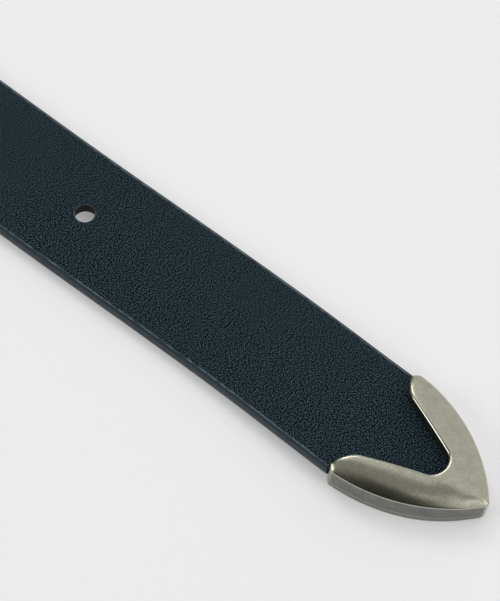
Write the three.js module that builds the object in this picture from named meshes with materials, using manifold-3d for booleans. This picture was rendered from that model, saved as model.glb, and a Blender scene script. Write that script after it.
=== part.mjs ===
// Western belt laid out flat: a bevelled leather strap with a cast metal tip on its free end,
// a turned back end that holds a plain cast buckle, and a leather keeper loop.
// Millimetres, +Z up, +X from the buckle to the tip. Lengths along the belt are first measured
// from the back of the metal tip, and the whole belt is centred on X at the end.

import * as THREE from 'three';
import { mergeVertices } from 'three/addons/utils/BufferGeometryUtils.js';
import Module from 'manifold-3d';

const wasm = await Module();
wasm.setup();

// Driving dimensions: strap

const STRAP_WIDTH = 35;
const STRAP_THICKNESS = 4.15;
const EDGE_BEVEL = 0.9;
const GAP = 0.3;
const HOLE_DIAMETER = 5.2;
const HOLE_COUNT = 5;
const HOLE_SPACING = 35;
const FIRST_HOLE_X = -97.3;
const WAIST_LENGTH = 864;
const LIFT_LENGTH = 60;
const BOW = 1.04;
const BOW_LENGTH = 140;
const BOW_SKEW = 0.67;

// Metal tip

const TIP_HALF_WIDTH = 18.2;
const TIP_SIDE_RADIUS = 49.4;
const TIP_NOSE_RADIUS = 1.8;
const TIP_NOSE_LEAN = 1.25;
const TIP_BACK = 0;
const TIP_CORNER_RADIUS = 2;
const TIP_SIDE_HEIGHT = 6.8;
const TIP_SIDE_DRAFT = 0.5;
const TIP_BOTTOM_EDGE = 0.3;
const TIP_DOME_RUN = 9.5;
const TIP_DOME_ANGLE = THREE.MathUtils.degToRad(36.8);
const TIP_FLOOR = 1.2;
const TIP_WALL = 1.1;
const TIP_CAVITY_END = 36;
const V_NOSE_RADIUS = 4.5;
const V_SIDE_SLOPE = 0.395;
const V_SIDE_AT_ZERO = 12.5;
const V_SHOULDER_RADIUS = 7.9;

// Turned back end of the strap

const BAR_RADIUS = 1.9;
const BAR_HEIGHT = 4.8;
const TURNED_THICKNESS = 2.3;
const TURNED_LENGTH = 74;
const TURNED_END_THICKNESS = 0.9;
const TURNED_BEVEL = 0.54;
const TURNED_CLOSING = 18;
const FEATHER_LENGTH = 14;
const SKIVE_LENGTH = 26;
const STEP_DOWN_START = TURNED_LENGTH + 3;
const STEP_DOWN_LENGTH = 75;
const PRONG_SLOT_WIDTH = 7;
const PRONG_SLOT_LENGTH = 14;

// Buckle and prong

const FRAME_WIDTH = 56;
const FRAME_INNER_WIDTH = 38;
const FRAME_REACH = 35;
const FRAME_HEEL = 6;
const FRAME_RAIL = 9;
const FRAME_HEIGHT = 7.4;
const FRAME_SIDE_HEIGHT = 5;
const FRAME_FRONT_RADIUS = 13;
const FRAME_HEEL_RADIUS = 4;
const FRAME_INNER_RADIUS = 7;
const FRAME_INNER_CHAMFER = 1.4;
const SMALLEST_ROUND = 0.1;
const BAR_INTO_RAIL = 3;
const PRONG_WIDTH = 4.6;
const PRONG_THICKNESS = 2.6;
const PRONG_EYE_RADIUS = 3.7;
const PRONG_BEVEL = 0.6;
const PRONG_SINK = 0.3;

// Keeper

const KEEPER_WIDTH = 14;
const KEEPER_WALL = 1.8;
const KEEPER_CLEARANCE = 1.1;
const KEEPER_SIDE_HEIGHT = 8.5;
const KEEPER_CROWN = 6.2;
const KEEPER_DISTANCE = 31;
const KEEPER_ROUNDNESS = 2.6;
const KEEPER_CORNER_RADIUS = 2.4;

// Steps in each curved face, and sizes of the cutting shapes that only have to reach far enough

const DISC_STEPS = 132;
const DOME_STEPS = 8;
const ARCH_STEPS = 20;
const ROUND_STEPS = 9;
const CORNER_STEPS = 5;
const NOSE_STEPS = 6;
const TONGUE_STEPS = 9;
const TONGUE_CROWDING = 1.4;
const BOW_STEPS = 28;
const STEP_DOWN_STEPS = 10;
const SKIVE_STEPS = 6;
const WRAP_STEPS = 12;
const CLOSING_STEPS = 5;
const BORE_STEPS = 20;
const CROWN_STEPS = 22;
const MERGE_DISTANCE = 1e-4;
const CUT_LOW = -2;
const CUT_HIGH = 20;
const CUT_WIDE = 30;
const CUT_FAR = 60;

// Places worked out from the sizes

const HALF_STRAP = STRAP_WIDTH / 2;
const SIDE_CENTRE = TIP_SIDE_RADIUS - TIP_HALF_WIDTH;
const NOSE_CENTRE = Math.sqrt((TIP_SIDE_RADIUS - TIP_NOSE_RADIUS) ** 2 - SIDE_CENTRE ** 2);
const APEX_X = NOSE_CENTRE + TIP_NOSE_RADIUS;
const STRAP_LIFT_AT_TIP = TIP_FLOOR + GAP;
const LEATHER_TOP_AT_TIP = STRAP_LIFT_AT_TIP + STRAP_THICKNESS;
const TONGUE_RADIUS = TIP_SIDE_RADIUS - TIP_WALL - GAP;
const BAR_X = FIRST_HOLE_X - HOLE_SPACING * (HOLE_COUNT - 1) / 2 - WAIST_LENGTH;
const BUCKLE_END_X = BAR_X - FRAME_REACH;
const BELT_MIDDLE_X = (APEX_X + BUCKLE_END_X) / 2;
const TURNED_TOP = KEEPER_WALL + GAP + TURNED_THICKNESS;
const STACK_FLESH = TURNED_TOP + GAP;
const WRAP_RADIUS = BAR_RADIUS + GAP;

// The metal tip's outer side wall. Columns: distance out from the plan, height.
const TIP_SKIRT = [
  [TIP_SIDE_DRAFT - TIP_BOTTOM_EDGE, 0],
  [TIP_SIDE_DRAFT, TIP_BOTTOM_EDGE],
  [0, TIP_SIDE_HEIGHT],
];

// The buckle frame's outer edge. Columns: distance in from the plan, height.
const FRAME_EDGE = [
  [0.5, 0],
  [0, 0.5],
  [0, FRAME_SIDE_HEIGHT],
  [0.6, FRAME_SIDE_HEIGHT + 1.1],
  [1.7, FRAME_SIDE_HEIGHT + 1.95],
  [3.2, FRAME_HEIGHT],
];

// Helpers

function toSolid(geometry) {
  const bare = geometry.index ? geometry.toNonIndexed() : geometry.clone();
  bare.deleteAttribute('normal');
  bare.deleteAttribute('uv');
  const merged = mergeVertices(bare, MERGE_DISTANCE);
  const vertProperties = new Float32Array(merged.attributes.position.array);
  const triVerts = new Uint32Array(merged.index.array);
  return new wasm.Manifold(new wasm.Mesh({ numProp: 3, vertProperties, triVerts }));
}

function toGeometry(solid) {
  const mesh = solid.getMesh();
  const geometry = new THREE.BufferGeometry();
  geometry.setAttribute('position', new THREE.BufferAttribute(new Float32Array(mesh.vertProperties), 3));
  geometry.setIndex(new THREE.BufferAttribute(new Uint32Array(mesh.triVerts), 1));
  geometry.computeVertexNormals();
  return geometry;
}

// A closed skin over rings that all have the same number of points, [x, y, z], in order.
function ringSkin(rings) {
  const count = rings[0].length;
  const positions = rings.flat(2);
  const index = [];
  for (let r = 0; r < rings.length - 1; r += 1) {
    for (let i = 0; i < count; i += 1) {
      const j = (i + 1) % count;
      const a = r * count + i;
      const b = r * count + j;
      index.push(a, b, a + count, b, b + count, a + count);
    }
  }
  const capRing = (ring, start, flip) => {
    const centre = positions.length / 3;
    for (let axis = 0; axis < 3; axis += 1) {
      positions.push(ring.reduce((sum, point) => sum + point[axis], 0) / count);
    }
    for (let i = 0; i < count; i += 1) {
      const j = (i + 1) % count;
      index.push(...(flip ? [centre, start + j, start + i] : [centre, start + i, start + j]));
    }
  };
  capRing(rings[0], 0, true);
  capRing(rings.at(-1), (rings.length - 1) * count, false);
  const geometry = new THREE.BufferGeometry();
  geometry.setAttribute('position', new THREE.Float32BufferAttribute(positions, 3));
  geometry.setIndex(index);
  return geometry;
}

// A flat outline, [x, y] points, raised from one height to another.
function prism(outline, bottom, top) {
  const shape = new THREE.Shape(outline.map(([x, y]) => new THREE.Vector2(x, y)));
  const geometry = new THREE.ExtrudeGeometry(shape, { depth: top - bottom, bevelEnabled: false });
  geometry.translate(0, 0, bottom);
  return geometry;
}

function arc(centreX, centreY, radius, from, to, steps) {
  return Array.from({ length: steps + 1 }, (_, i) => {
    const angle = from + (to - from) * i / steps;
    return [centreX + radius * Math.cos(angle), centreY + radius * Math.sin(angle)];
  });
}

function smoothStep(t) {
  const s = THREE.MathUtils.clamp(t, 0, 1);
  return s * s * (3 - 2 * s);
}

// Points on the belt's left side, turned over to its right side and into the opposite order.
function mirrorBack(points) {
  return points.slice().reverse().map(([x, y]) => [x, -y]);
}

// Metal tip

// A plan of two equal arcs that meet on the belt's middle line, open at its back.
function archOutline(radius, startX) {
  const start = Math.acos(startX / radius);
  const meet = Math.asin(SIDE_CENTRE / radius);
  const half = arc(0, -SIDE_CENTRE, radius, start, meet, ARCH_STEPS);
  const upper = half.slice(0, -1);
  return [...upper, [half.at(-1)[0], 0], ...mirrorBack(upper)].reverse();
}

// A round solid about an upright line on the far side of the belt: its rim is one side of the tip.
function sideDisc(centreY, levels) {
  const rings = levels.map(([offset, z]) => (
    arc(0, centreY, TIP_SIDE_RADIUS + offset, 0, 2 * Math.PI, DISC_STEPS)
      .slice(1)
      .map(([x, y]) => [x, y, z])));
  return toSolid(ringSkin(rings));
}

// A wedge with a round front edge that blunts the tip's nose. It gets smaller towards the foot, so
// the nose leans back there.
function noseWedge(levels) {
  const normal = Math.atan2(SIDE_CENTRE, NOSE_CENTRE);
  const reach = CUT_FAR + CUT_WIDE;
  const rings = levels.map(([offset, z]) => {
    const nose = arc(NOSE_CENTRE, 0, TIP_NOSE_RADIUS + offset, -normal, normal, NOSE_STEPS);
    const [x, y] = nose.at(-1);
    const tail = [x - reach * Math.sin(normal), y + reach * Math.cos(normal)];
    return [[tail[0], -tail[1]], ...nose, tail].map((point) => [...point, z]);
  });
  return toSolid(ringSkin(rings));
}

// Height of the domed face over its lower edge, for a distance in from that edge.
function domeRise(distanceIn) {
  const radius = TIP_DOME_RUN / Math.sin(TIP_DOME_ANGLE);
  const left = TIP_DOME_RUN - distanceIn;
  return Math.sqrt(radius ** 2 - left ** 2) - radius * Math.cos(TIP_DOME_ANGLE);
}

// One side of the opening's edge: round nose, straight side, and a shoulder that turns out to
// meet the belt's edge square on.
function openingHalf() {
  const tilt = Math.atan(V_SIDE_SLOPE);
  const noseX = (V_SIDE_AT_ZERO - V_NOSE_RADIUS / Math.cos(tilt)) / V_SIDE_SLOPE;
  const shoulderX = TIP_BACK + V_SHOULDER_RADIUS;
  const touchX = shoulderX - V_SHOULDER_RADIUS * Math.sin(tilt);
  const touchY = V_SIDE_AT_ZERO - V_SIDE_SLOPE * touchX;
  const shoulderY = touchY + V_SHOULDER_RADIUS * Math.cos(tilt);
  const nose = arc(noseX, 0, V_NOSE_RADIUS, 0, Math.PI / 2 - tilt, ROUND_STEPS);
  const shoulder = arc(shoulderX, shoulderY, V_SHOULDER_RADIUS, 1.5 * Math.PI - tilt, Math.PI, ROUND_STEPS);
  return [...nose, ...shoulder];
}

function beltTip() {
  const dome = Array.from({ length: DOME_STEPS }, (_, i) => {
    const distanceIn = TIP_DOME_RUN * (i + 1) / DOME_STEPS;
    return [-distanceIn, TIP_SIDE_HEIGHT + domeRise(distanceIn)];
  });
  const levels = [...TIP_SKIRT, ...dome];
  const noseWall = TIP_SKIRT.map(([offset, z]) => [offset - TIP_NOSE_LEAN * (1 - z / TIP_SIDE_HEIGHT), z]);
  const [[toeOffset]] = noseWall;
  const noseLevels = [[toeOffset, CUT_LOW], ...noseWall.slice(1), [0, CUT_HIGH]];
  const body = sideDisc(-SIDE_CENTRE, levels)
    .intersect(sideDisc(SIDE_CENTRE, levels))
    .intersect(noseWedge(noseLevels));

  const cornerX = TIP_BACK + TIP_CORNER_RADIUS;
  const cornerY = TIP_HALF_WIDTH + TIP_SIDE_DRAFT - TIP_CORNER_RADIUS;
  const corner = arc(cornerX, cornerY, TIP_CORNER_RADIUS, Math.PI / 2, Math.PI, CORNER_STEPS);
  const trimHalf = [[-CUT_FAR, CUT_WIDE], [cornerX, CUT_WIDE], ...corner];
  const trim = prism([...trimHalf, ...mirrorBack(trimHalf)], CUT_LOW, CUT_HIGH);

  const behind = -TIP_WALL;
  const opening = openingHalf();
  const openingLoop = [...opening, [behind, opening.at(-1)[1]]];
  const window = prism([...openingLoop.slice(1), ...mirrorBack(openingLoop)], LEATHER_TOP_AT_TIP, CUT_HIGH);

  const pocketPlan = archOutline(TIP_SIDE_RADIUS - TIP_WALL, behind)
    .map(([x, y]) => [Math.min(x, TIP_CAVITY_END), y]);
  const pocket = prism(pocketPlan, TIP_FLOOR, LEATHER_TOP_AT_TIP + GAP);
  const shell = body.subtract(toSolid(trim)).subtract(toSolid(window)).subtract(toSolid(pocket));
  return toGeometry(shell);
}

// Strap

// Half width of the leather tongue, a little inside the metal tip's side wall.
function tongueHalfWidth(x) {
  return Math.sqrt(TONGUE_RADIUS ** 2 - x ** 2) - SIDE_CENTRE;
}

// How far the strap lies to the left of the tip's middle line: it bows a little near the tip.
function bowAt(x) {
  const along = THREE.MathUtils.clamp(-x / BOW_LENGTH, 0, 1);
  return BOW * Math.sin(Math.PI * along ** BOW_SKEW) ** 3;
}

// Stations along the strap's flesh side, from the tongue to the end of the turned back layer:
// place, lean of the flesh to grain direction, thickness, half width and bevel.
function strapStations() {
  const stations = [];
  const add = (x, z, lean, thickness, halfWidth, bevel) => {
    stations.push({ x, z, lean, thickness, halfWidth, bevel, bow: bowAt(x) });
  };

  const tongueBevel = EDGE_BEVEL / 3;
  const tongueBluntness = 1;
  const shoulder = TIP_BACK - GAP;
  const shoulderStep = 0.01;
  const tongueEnd = Math.sqrt(TONGUE_RADIUS ** 2 - SIDE_CENTRE ** 2) - tongueBluntness;
  for (let i = 0; i < TONGUE_STEPS; i += 1) {
    const x = THREE.MathUtils.lerp(tongueEnd, shoulder, (i / (TONGUE_STEPS - 1)) ** TONGUE_CROWDING);
    add(x, STRAP_LIFT_AT_TIP, 0, STRAP_THICKNESS, tongueHalfWidth(x), tongueBevel);
  }
  add(shoulder - shoulderStep, STRAP_LIFT_AT_TIP, 0, STRAP_THICKNESS, HALF_STRAP, EDGE_BEVEL);

  for (let i = 1; i <= BOW_STEPS; i += 1) {
    const x = -BOW_LENGTH * i / BOW_STEPS;
    const t = THREE.MathUtils.clamp(-x / LIFT_LENGTH, 0, 1);
    const lean = Math.atan(STRAP_LIFT_AT_TIP * 6 * t * (1 - t) / LIFT_LENGTH);
    add(x, STRAP_LIFT_AT_TIP * (1 - smoothStep(t)), lean, STRAP_THICKNESS, HALF_STRAP, EDGE_BEVEL);
  }

  for (let i = 0; i <= STEP_DOWN_STEPS; i += 1) {
    const t = i / STEP_DOWN_STEPS;
    const x = BAR_X + STEP_DOWN_START + STEP_DOWN_LENGTH * (1 - t);
    add(x, STACK_FLESH * smoothStep(t), 0, STRAP_THICKNESS, HALF_STRAP, EDGE_BEVEL);
  }

  const wrapTop = BAR_HEIGHT + WRAP_RADIUS;
  for (let i = 0; i <= SKIVE_STEPS; i += 1) {
    const t = i / SKIVE_STEPS;
    const z = THREE.MathUtils.lerp(STACK_FLESH, wrapTop, smoothStep(t));
    const thickness = THREE.MathUtils.lerp(STRAP_THICKNESS, TURNED_THICKNESS, smoothStep(t));
    const bevel = THREE.MathUtils.lerp(EDGE_BEVEL, TURNED_BEVEL, t);
    add(BAR_X + SKIVE_LENGTH * (1 - t), z, 0, thickness, HALF_STRAP, bevel);
  }

  for (let i = 1; i <= WRAP_STEPS; i += 1) {
    const lean = Math.PI * i / WRAP_STEPS;
    const x = BAR_X - WRAP_RADIUS * Math.sin(lean);
    const z = BAR_HEIGHT + WRAP_RADIUS * Math.cos(lean);
    add(x, z, lean, TURNED_THICKNESS, HALF_STRAP, TURNED_BEVEL);
  }

  for (let i = 1; i <= CLOSING_STEPS; i += 1) {
    const t = i / CLOSING_STEPS;
    const z = THREE.MathUtils.lerp(BAR_HEIGHT - WRAP_RADIUS, TURNED_TOP, smoothStep(t));
    add(BAR_X + TURNED_CLOSING * t, z, Math.PI, TURNED_THICKNESS, HALF_STRAP, TURNED_BEVEL);
  }
  const featherStart = BAR_X + TURNED_LENGTH - FEATHER_LENGTH;
  add(featherStart, TURNED_TOP, Math.PI, TURNED_THICKNESS, HALF_STRAP, TURNED_BEVEL);
  add(BAR_X + TURNED_LENGTH, TURNED_TOP, Math.PI, TURNED_END_THICKNESS, HALF_STRAP, TURNED_BEVEL / 2);
  return stations;
}

// The strap's bevelled section at one station.
function strapRing({ x, z, lean, thickness, halfWidth, bevel, bow }) {
  const outline = [
    [-halfWidth, bevel],
    [-halfWidth, thickness - bevel],
    [-halfWidth + bevel, thickness],
    [halfWidth - bevel, thickness],
    [halfWidth, thickness - bevel],
    [halfWidth, bevel],
    [halfWidth - bevel, 0],
    [-halfWidth + bevel, 0],
  ];
  return outline.map(([y, up]) => [x - up * Math.sin(lean), y + bow, z + up * Math.cos(lean)]);
}

function strap() {
  let solid = toSolid(ringSkin(strapStations().map(strapRing)));
  const radius = HOLE_DIAMETER / 2;
  for (let i = 0; i < HOLE_COUNT; i += 1) {
    const punch = new THREE.CylinderGeometry(radius, radius, CUT_HIGH, BORE_STEPS);
    punch.rotateX(Math.PI / 2);
    const x = FIRST_HOLE_X - HOLE_SPACING * i;
    punch.translate(x, bowAt(x), 0);
    solid = solid.subtract(toSolid(punch));
  }
  const slotHalf = PRONG_SLOT_WIDTH / 2;
  const slotStart = BAR_X - WRAP_RADIUS - TURNED_THICKNESS - PRONG_SLOT_WIDTH;
  const slotCentre = BAR_X + PRONG_SLOT_LENGTH - slotHalf;
  const round = arc(slotCentre, 0, slotHalf, -Math.PI / 2, Math.PI / 2, ROUND_STEPS);
  const slot = prism([[slotStart, slotHalf], [slotStart, -slotHalf], ...round], CUT_LOW, CUT_HIGH);
  return toGeometry(solid.subtract(toSolid(slot)));
}

// Buckle

// A rectangle with round corners: two radii, one for the front corners and one for the heel.
function frameOutline(frontX, heelX, halfWidth, frontRadius, heelRadius, inset) {
  const corners = [
    [heelX, halfWidth, heelRadius, 0],
    [frontX, halfWidth, frontRadius, Math.PI / 2],
    [frontX, -halfWidth, frontRadius, Math.PI],
    [heelX, -halfWidth, heelRadius, 1.5 * Math.PI],
  ];
  return corners.flatMap(([x, y, radius, from]) => {
    const left = Math.max(radius - inset, SMALLEST_ROUND * radius);
    const centreX = x - Math.sign(x - (frontX + heelX) / 2) * (left + inset);
    const centreY = y - Math.sign(y) * (left + inset);
    return arc(centreX, centreY, left, from, from + Math.PI / 2, ROUND_STEPS);
  });
}

function buckle() {
  const heelX = BAR_X + FRAME_HEEL;
  const bodyRings = FRAME_EDGE.map(([inset, z]) => (
    frameOutline(BUCKLE_END_X, heelX, FRAME_WIDTH / 2, FRAME_FRONT_RADIUS, FRAME_HEEL_RADIUS, inset)
      .map(([x, y]) => [x, y, z])));
  const body = toSolid(ringSkin(bodyRings));

  const frontX = BUCKLE_END_X + FRAME_RAIL;
  const behindX = heelX + FRAME_RAIL;
  const halfInner = FRAME_INNER_WIDTH / 2;
  const chamferStart = FRAME_HEIGHT - FRAME_INNER_CHAMFER;
  const innerLevels = [
    [0, CUT_LOW],
    [0, chamferStart],
    [-2 * FRAME_INNER_CHAMFER, chamferStart + 2 * FRAME_INNER_CHAMFER],
  ];
  const innerRings = innerLevels.map(([inset, z]) => (
    frameOutline(frontX, behindX, halfInner, FRAME_INNER_RADIUS, 1, inset)
      .map(([x, y]) => [x, y, z])));
  const inner = toSolid(ringSkin(innerRings));

  const barLength = FRAME_INNER_WIDTH + 2 * BAR_INTO_RAIL;
  const bar = new THREE.CylinderGeometry(BAR_RADIUS, BAR_RADIUS, barLength, BORE_STEPS);
  bar.translate(BAR_X, 0, BAR_HEIGHT);

  const eye = new THREE.CylinderGeometry(PRONG_EYE_RADIUS, PRONG_EYE_RADIUS, PRONG_WIDTH, BORE_STEPS);
  eye.translate(BAR_X, 0, BAR_HEIGHT);

  return toGeometry(body.subtract(inner).add(toSolid(bar)).add(toSolid(eye)).add(toSolid(prong())));
}

// The prong in side view, from the eye on the bar to the front rail, which it rests on.
function prong() {
  const eyeTop = BAR_HEIGHT + PRONG_EYE_RADIUS;
  const restX = BUCKLE_END_X + FRAME_RAIL;
  const restZ = FRAME_HEIGHT - PRONG_SINK;
  const noseX = BUCKLE_END_X + 0.6;
  const side = [
    [BAR_X, eyeTop - PRONG_SINK - PRONG_THICKNESS],
    [BAR_X, eyeTop - PRONG_SINK],
    [BAR_X - 6, eyeTop + 0.3],
    [restX, restZ + PRONG_THICKNESS],
    [noseX + 1.4, restZ + PRONG_THICKNESS - 0.5],
    [noseX, restZ + 0.9],
    [noseX + 0.4, restZ],
    [restX, restZ],
    [BAR_X - 8, eyeTop - PRONG_THICKNESS],
  ];
  const shape = new THREE.Shape(side.map(([x, z]) => new THREE.Vector2(x, z)));
  const geometry = new THREE.ExtrudeGeometry(shape, {
    depth: PRONG_WIDTH - 2 * PRONG_BEVEL,
    bevelSize: PRONG_BEVEL,
    bevelThickness: PRONG_BEVEL,
    bevelOffset: -PRONG_BEVEL,
    bevelSegments: 1,
  });
  geometry.rotateX(Math.PI / 2);
  geometry.translate(0, PRONG_WIDTH / 2 - PRONG_BEVEL, 0);
  return geometry;
}

// Keeper

// The loop's inner or outer outline across the belt: flat below, crowned on top.
function keeperOutline(wall) {
  const half = HALF_STRAP + KEEPER_CLEARANCE + wall;
  const bottom = KEEPER_WALL - wall;
  const radius = KEEPER_CORNER_RADIUS + wall;
  const side = half - radius;
  const centreZ = bottom + radius;
  const lower = [
    ...arc(-side, centreZ, radius, Math.PI, 1.5 * Math.PI, CORNER_STEPS),
    ...arc(side, centreZ, radius, 1.5 * Math.PI, 2 * Math.PI, CORNER_STEPS),
  ];
  const power = 2 / KEEPER_ROUNDNESS;
  const crown = Array.from({ length: CROWN_STEPS + 1 }, (_, i) => {
    const angle = Math.PI * i / CROWN_STEPS;
    const across = Math.sign(Math.cos(angle)) * Math.abs(Math.cos(angle)) ** power;
    const up = Math.sin(angle) ** power;
    return [half * across, KEEPER_SIDE_HEIGHT + (KEEPER_CROWN + wall) * up];
  });
  return [...lower, ...crown];
}

function keeper() {
  const toPath = (points) => points.map(([y, z]) => new THREE.Vector2(y, z));
  const shape = new THREE.Shape(toPath(keeperOutline(KEEPER_WALL)));
  shape.holes.push(new THREE.Path(toPath(keeperOutline(0)).reverse()));
  const geometry = new THREE.ExtrudeGeometry(shape, { depth: KEEPER_WIDTH, bevelEnabled: false });
  geometry.rotateX(Math.PI / 2);
  geometry.rotateZ(Math.PI / 2);
  geometry.translate(BAR_X + KEEPER_DISTANCE, 0, 0);
  return toGeometry(toSolid(geometry));
}

// The belt

const DARK_LEATHER = { color: '#232e34', roughness: 0.55, metalness: 0 };
const ANTIQUE_METAL = { color: '#9c9a8b', roughness: 0.38, metalness: 1 };

function mesh(name, geometry, look) {
  const piece = new THREE.Mesh(geometry, new THREE.MeshStandardMaterial(look));
  piece.name = name;
  return piece;
}

const belt = new THREE.Group();
belt.position.x = -BELT_MIDDLE_X;
belt.add(
  mesh('strap', strap(), DARK_LEATHER),
  mesh('belt_tip', beltTip(), ANTIQUE_METAL),
  mesh('keeper', keeper(), DARK_LEATHER),
  mesh('buckle', buckle(), ANTIQUE_METAL),
);

export default belt;
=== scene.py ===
"""A western belt laid out flat: dark leather strap, cast metal tip, keeper loop and plain buckle."""

import math

import bmesh
import bpy
import numpy as np
from mathutils import Matrix, Vector

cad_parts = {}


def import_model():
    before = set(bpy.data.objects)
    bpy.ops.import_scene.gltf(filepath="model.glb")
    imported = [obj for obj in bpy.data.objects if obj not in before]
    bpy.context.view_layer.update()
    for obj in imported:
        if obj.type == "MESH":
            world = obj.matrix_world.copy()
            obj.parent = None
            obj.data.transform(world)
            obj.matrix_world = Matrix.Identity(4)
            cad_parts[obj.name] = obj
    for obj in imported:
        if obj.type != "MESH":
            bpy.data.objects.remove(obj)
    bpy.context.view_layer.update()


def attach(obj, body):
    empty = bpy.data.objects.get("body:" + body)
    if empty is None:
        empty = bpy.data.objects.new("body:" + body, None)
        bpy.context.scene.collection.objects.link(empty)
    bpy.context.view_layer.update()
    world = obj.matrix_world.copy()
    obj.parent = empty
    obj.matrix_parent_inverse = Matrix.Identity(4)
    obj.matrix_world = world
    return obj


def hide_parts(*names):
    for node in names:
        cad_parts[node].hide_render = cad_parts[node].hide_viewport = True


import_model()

bl_info = {
    "name": "Western belt",
    "version": (1, 0, 0),
    "blender": (4, 5, 0),
    "location": "View3D > Sidebar > Belt",
    "description": "Builds a leather belt with a cast metal tip, piece by piece",
    "category": "Add Mesh",
}

MM = 0.001
BODY = "root"

# Points of a mesh that are closer than WELD are made one. SLACK is room for rounding in a comparison of two
# lengths, and NOTHING keeps a division by a length of 0 from failing.
WELD = 0.002 * MM
SLACK = 0.001 * MM
NOTHING = 1e-9


# Sizes and colours


def linear(code):
    """Turns an sRGB hex colour into linear red, green and blue."""
    parts = np.array([int(code[i:i + 2], 16) for i in (1, 3, 5)]) / 255.0
    low = parts / 12.92
    high = ((parts + 0.055) / 1.055) ** 2.4
    return tuple(float(c) for c in np.where(parts <= 0.04045, low, high))


def length(name, description, millimetres):
    """A length property, given in millimetres and kept in metres."""
    return bpy.props.FloatProperty(
        name=name, description=description, default=millimetres * MM, unit="LENGTH", precision=5)


def colour(name, description, code):
    """A colour property, given as an sRGB hex value and kept as linear numbers."""
    return bpy.props.FloatVectorProperty(
        name=name, description=description, default=linear(code), size=3, min=0, max=1, subtype="COLOR")


class StrapSizes(bpy.types.PropertyGroup):
    """Sizes of the leather strap."""

    width: length("Width", "Across the strap", 35.0)
    thickness: length("Thickness", "Leather thickness", 4.15)
    edge_round: length("Edge round", "Radius of the bevelled and painted edges", 0.9)
    hole_diameter: length("Hole diameter", "Punched holes", 5.2)
    hole_rim: length("Hole rim", "Radius of the pressed rim of each hole", 0.2)
    hole_flare: length("Hole flare", "How much wider each hole's radius is on the flesh side", 0.5)
    hole_spacing: length("Hole spacing", "From hole to hole", 35.0)
    first_hole: length("First hole", "From the back of the metal tip", 97.3)
    hole_count: bpy.props.IntProperty(name="Holes", description="Number of holes", default=5, min=1)
    waist: length("Waist", "From the buckle's bar to the middle hole", 864.0)
    tip_lift: length("Tip lift", "Leather's underside above the table in the metal tip", 1.5)
    lift_length: length("Lift length", "From the metal tip to where the strap lies on the table", 60.0)
    bow: length("Bow", "Most that the strap bows to its left", 1.04)
    bow_length: length("Bow length", "From the metal tip to the end of the bow", 140.0)
    tongue_radius: length("Tongue radius", "Side radius of the tongue in the metal tip", 48.0)
    turned_thickness: length("Turned thickness", "Leather skived thin at the buckle", 2.3)
    turned_length: length("Turned length", "Length of the turned back layer", 74.0)
    turned_end: length("Turned end", "Feathered end of the turned back layer", 0.9)
    stack_height: length("Stack height", "Main layer's underside over the turned layer", 4.7)
    step_start: length("Step start", "From the bar to where the strap starts down", 77.0)
    step_length: length("Step length", "Length of the strap's way down to the table", 75.0)
    skive_length: length("Skive length", "Length over which the strap gets thin", 26.0)
    slot_width: length("Slot width", "Slot for the prong", 7.0)
    slot_length: length("Slot length", "From the bar to the slot's end in each layer", 14.0)


class TipSizes(bpy.types.PropertyGroup):
    """Sizes of the cast metal tip."""

    half_width: length("Half width", "Belt's middle line to the top of the side wall", 18.2)
    side_radius: length("Side radius", "Radius of both sides in plan", 49.4)
    nose_radius: length("Nose radius", "Blunt nose in plan", 1.8)
    back: length("Back", "Place of the tip's back edge", 0.0)
    corner_radius: length("Corner radius", "Upright round edge at the end of each limb, at its top", 2.4)
    corner_foot: length("Corner foot", "The same round at its foot", 1.6)
    end_lean: length("End lean", "How far the end of each limb leans back at its foot", 0.05)
    nose_lean: length("Nose lean", "How far the nose is drawn back at its foot", 1.25)
    cavity_end: length("Cavity end", "Blunt end of the cavity for the leather", 36.0)
    side_height: length("Side height", "Top of the side wall", 6.8)
    draft: length("Draft", "How far the side wall leans out at its foot", 0.5)
    dome_run: length("Dome run", "Width of the domed face", 9.5)
    dome_angle: bpy.props.FloatProperty(
        name="Dome angle", description="Slope of the domed face at its lower edge",
        default=math.radians(36.8), subtype="ANGLE")
    wall: length("Wall", "Thickness of the side wall", 1.1)
    floor: length("Floor", "Thickness of the bottom plate", 1.2)
    lip_bevel: length("Lip bevel", "Width of the rolled and bevelled edge of the opening", 0.95)
    crease_round: length("Crease round", "Round between side wall and dome", 0.32)
    opening_nose: length("Opening nose", "Round end of the V opening", 4.5)
    opening_half: length("Opening half", "Half width where the opening's straight sides meet x = 0", 12.45)
    opening_slope: bpy.props.FloatProperty(
        name="Opening slope", description="Narrowing of each side of the V opening", default=0.395)
    shoulder_radius: length("Shoulder radius", "Round shoulder at each end of the opening", 7.9)


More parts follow.
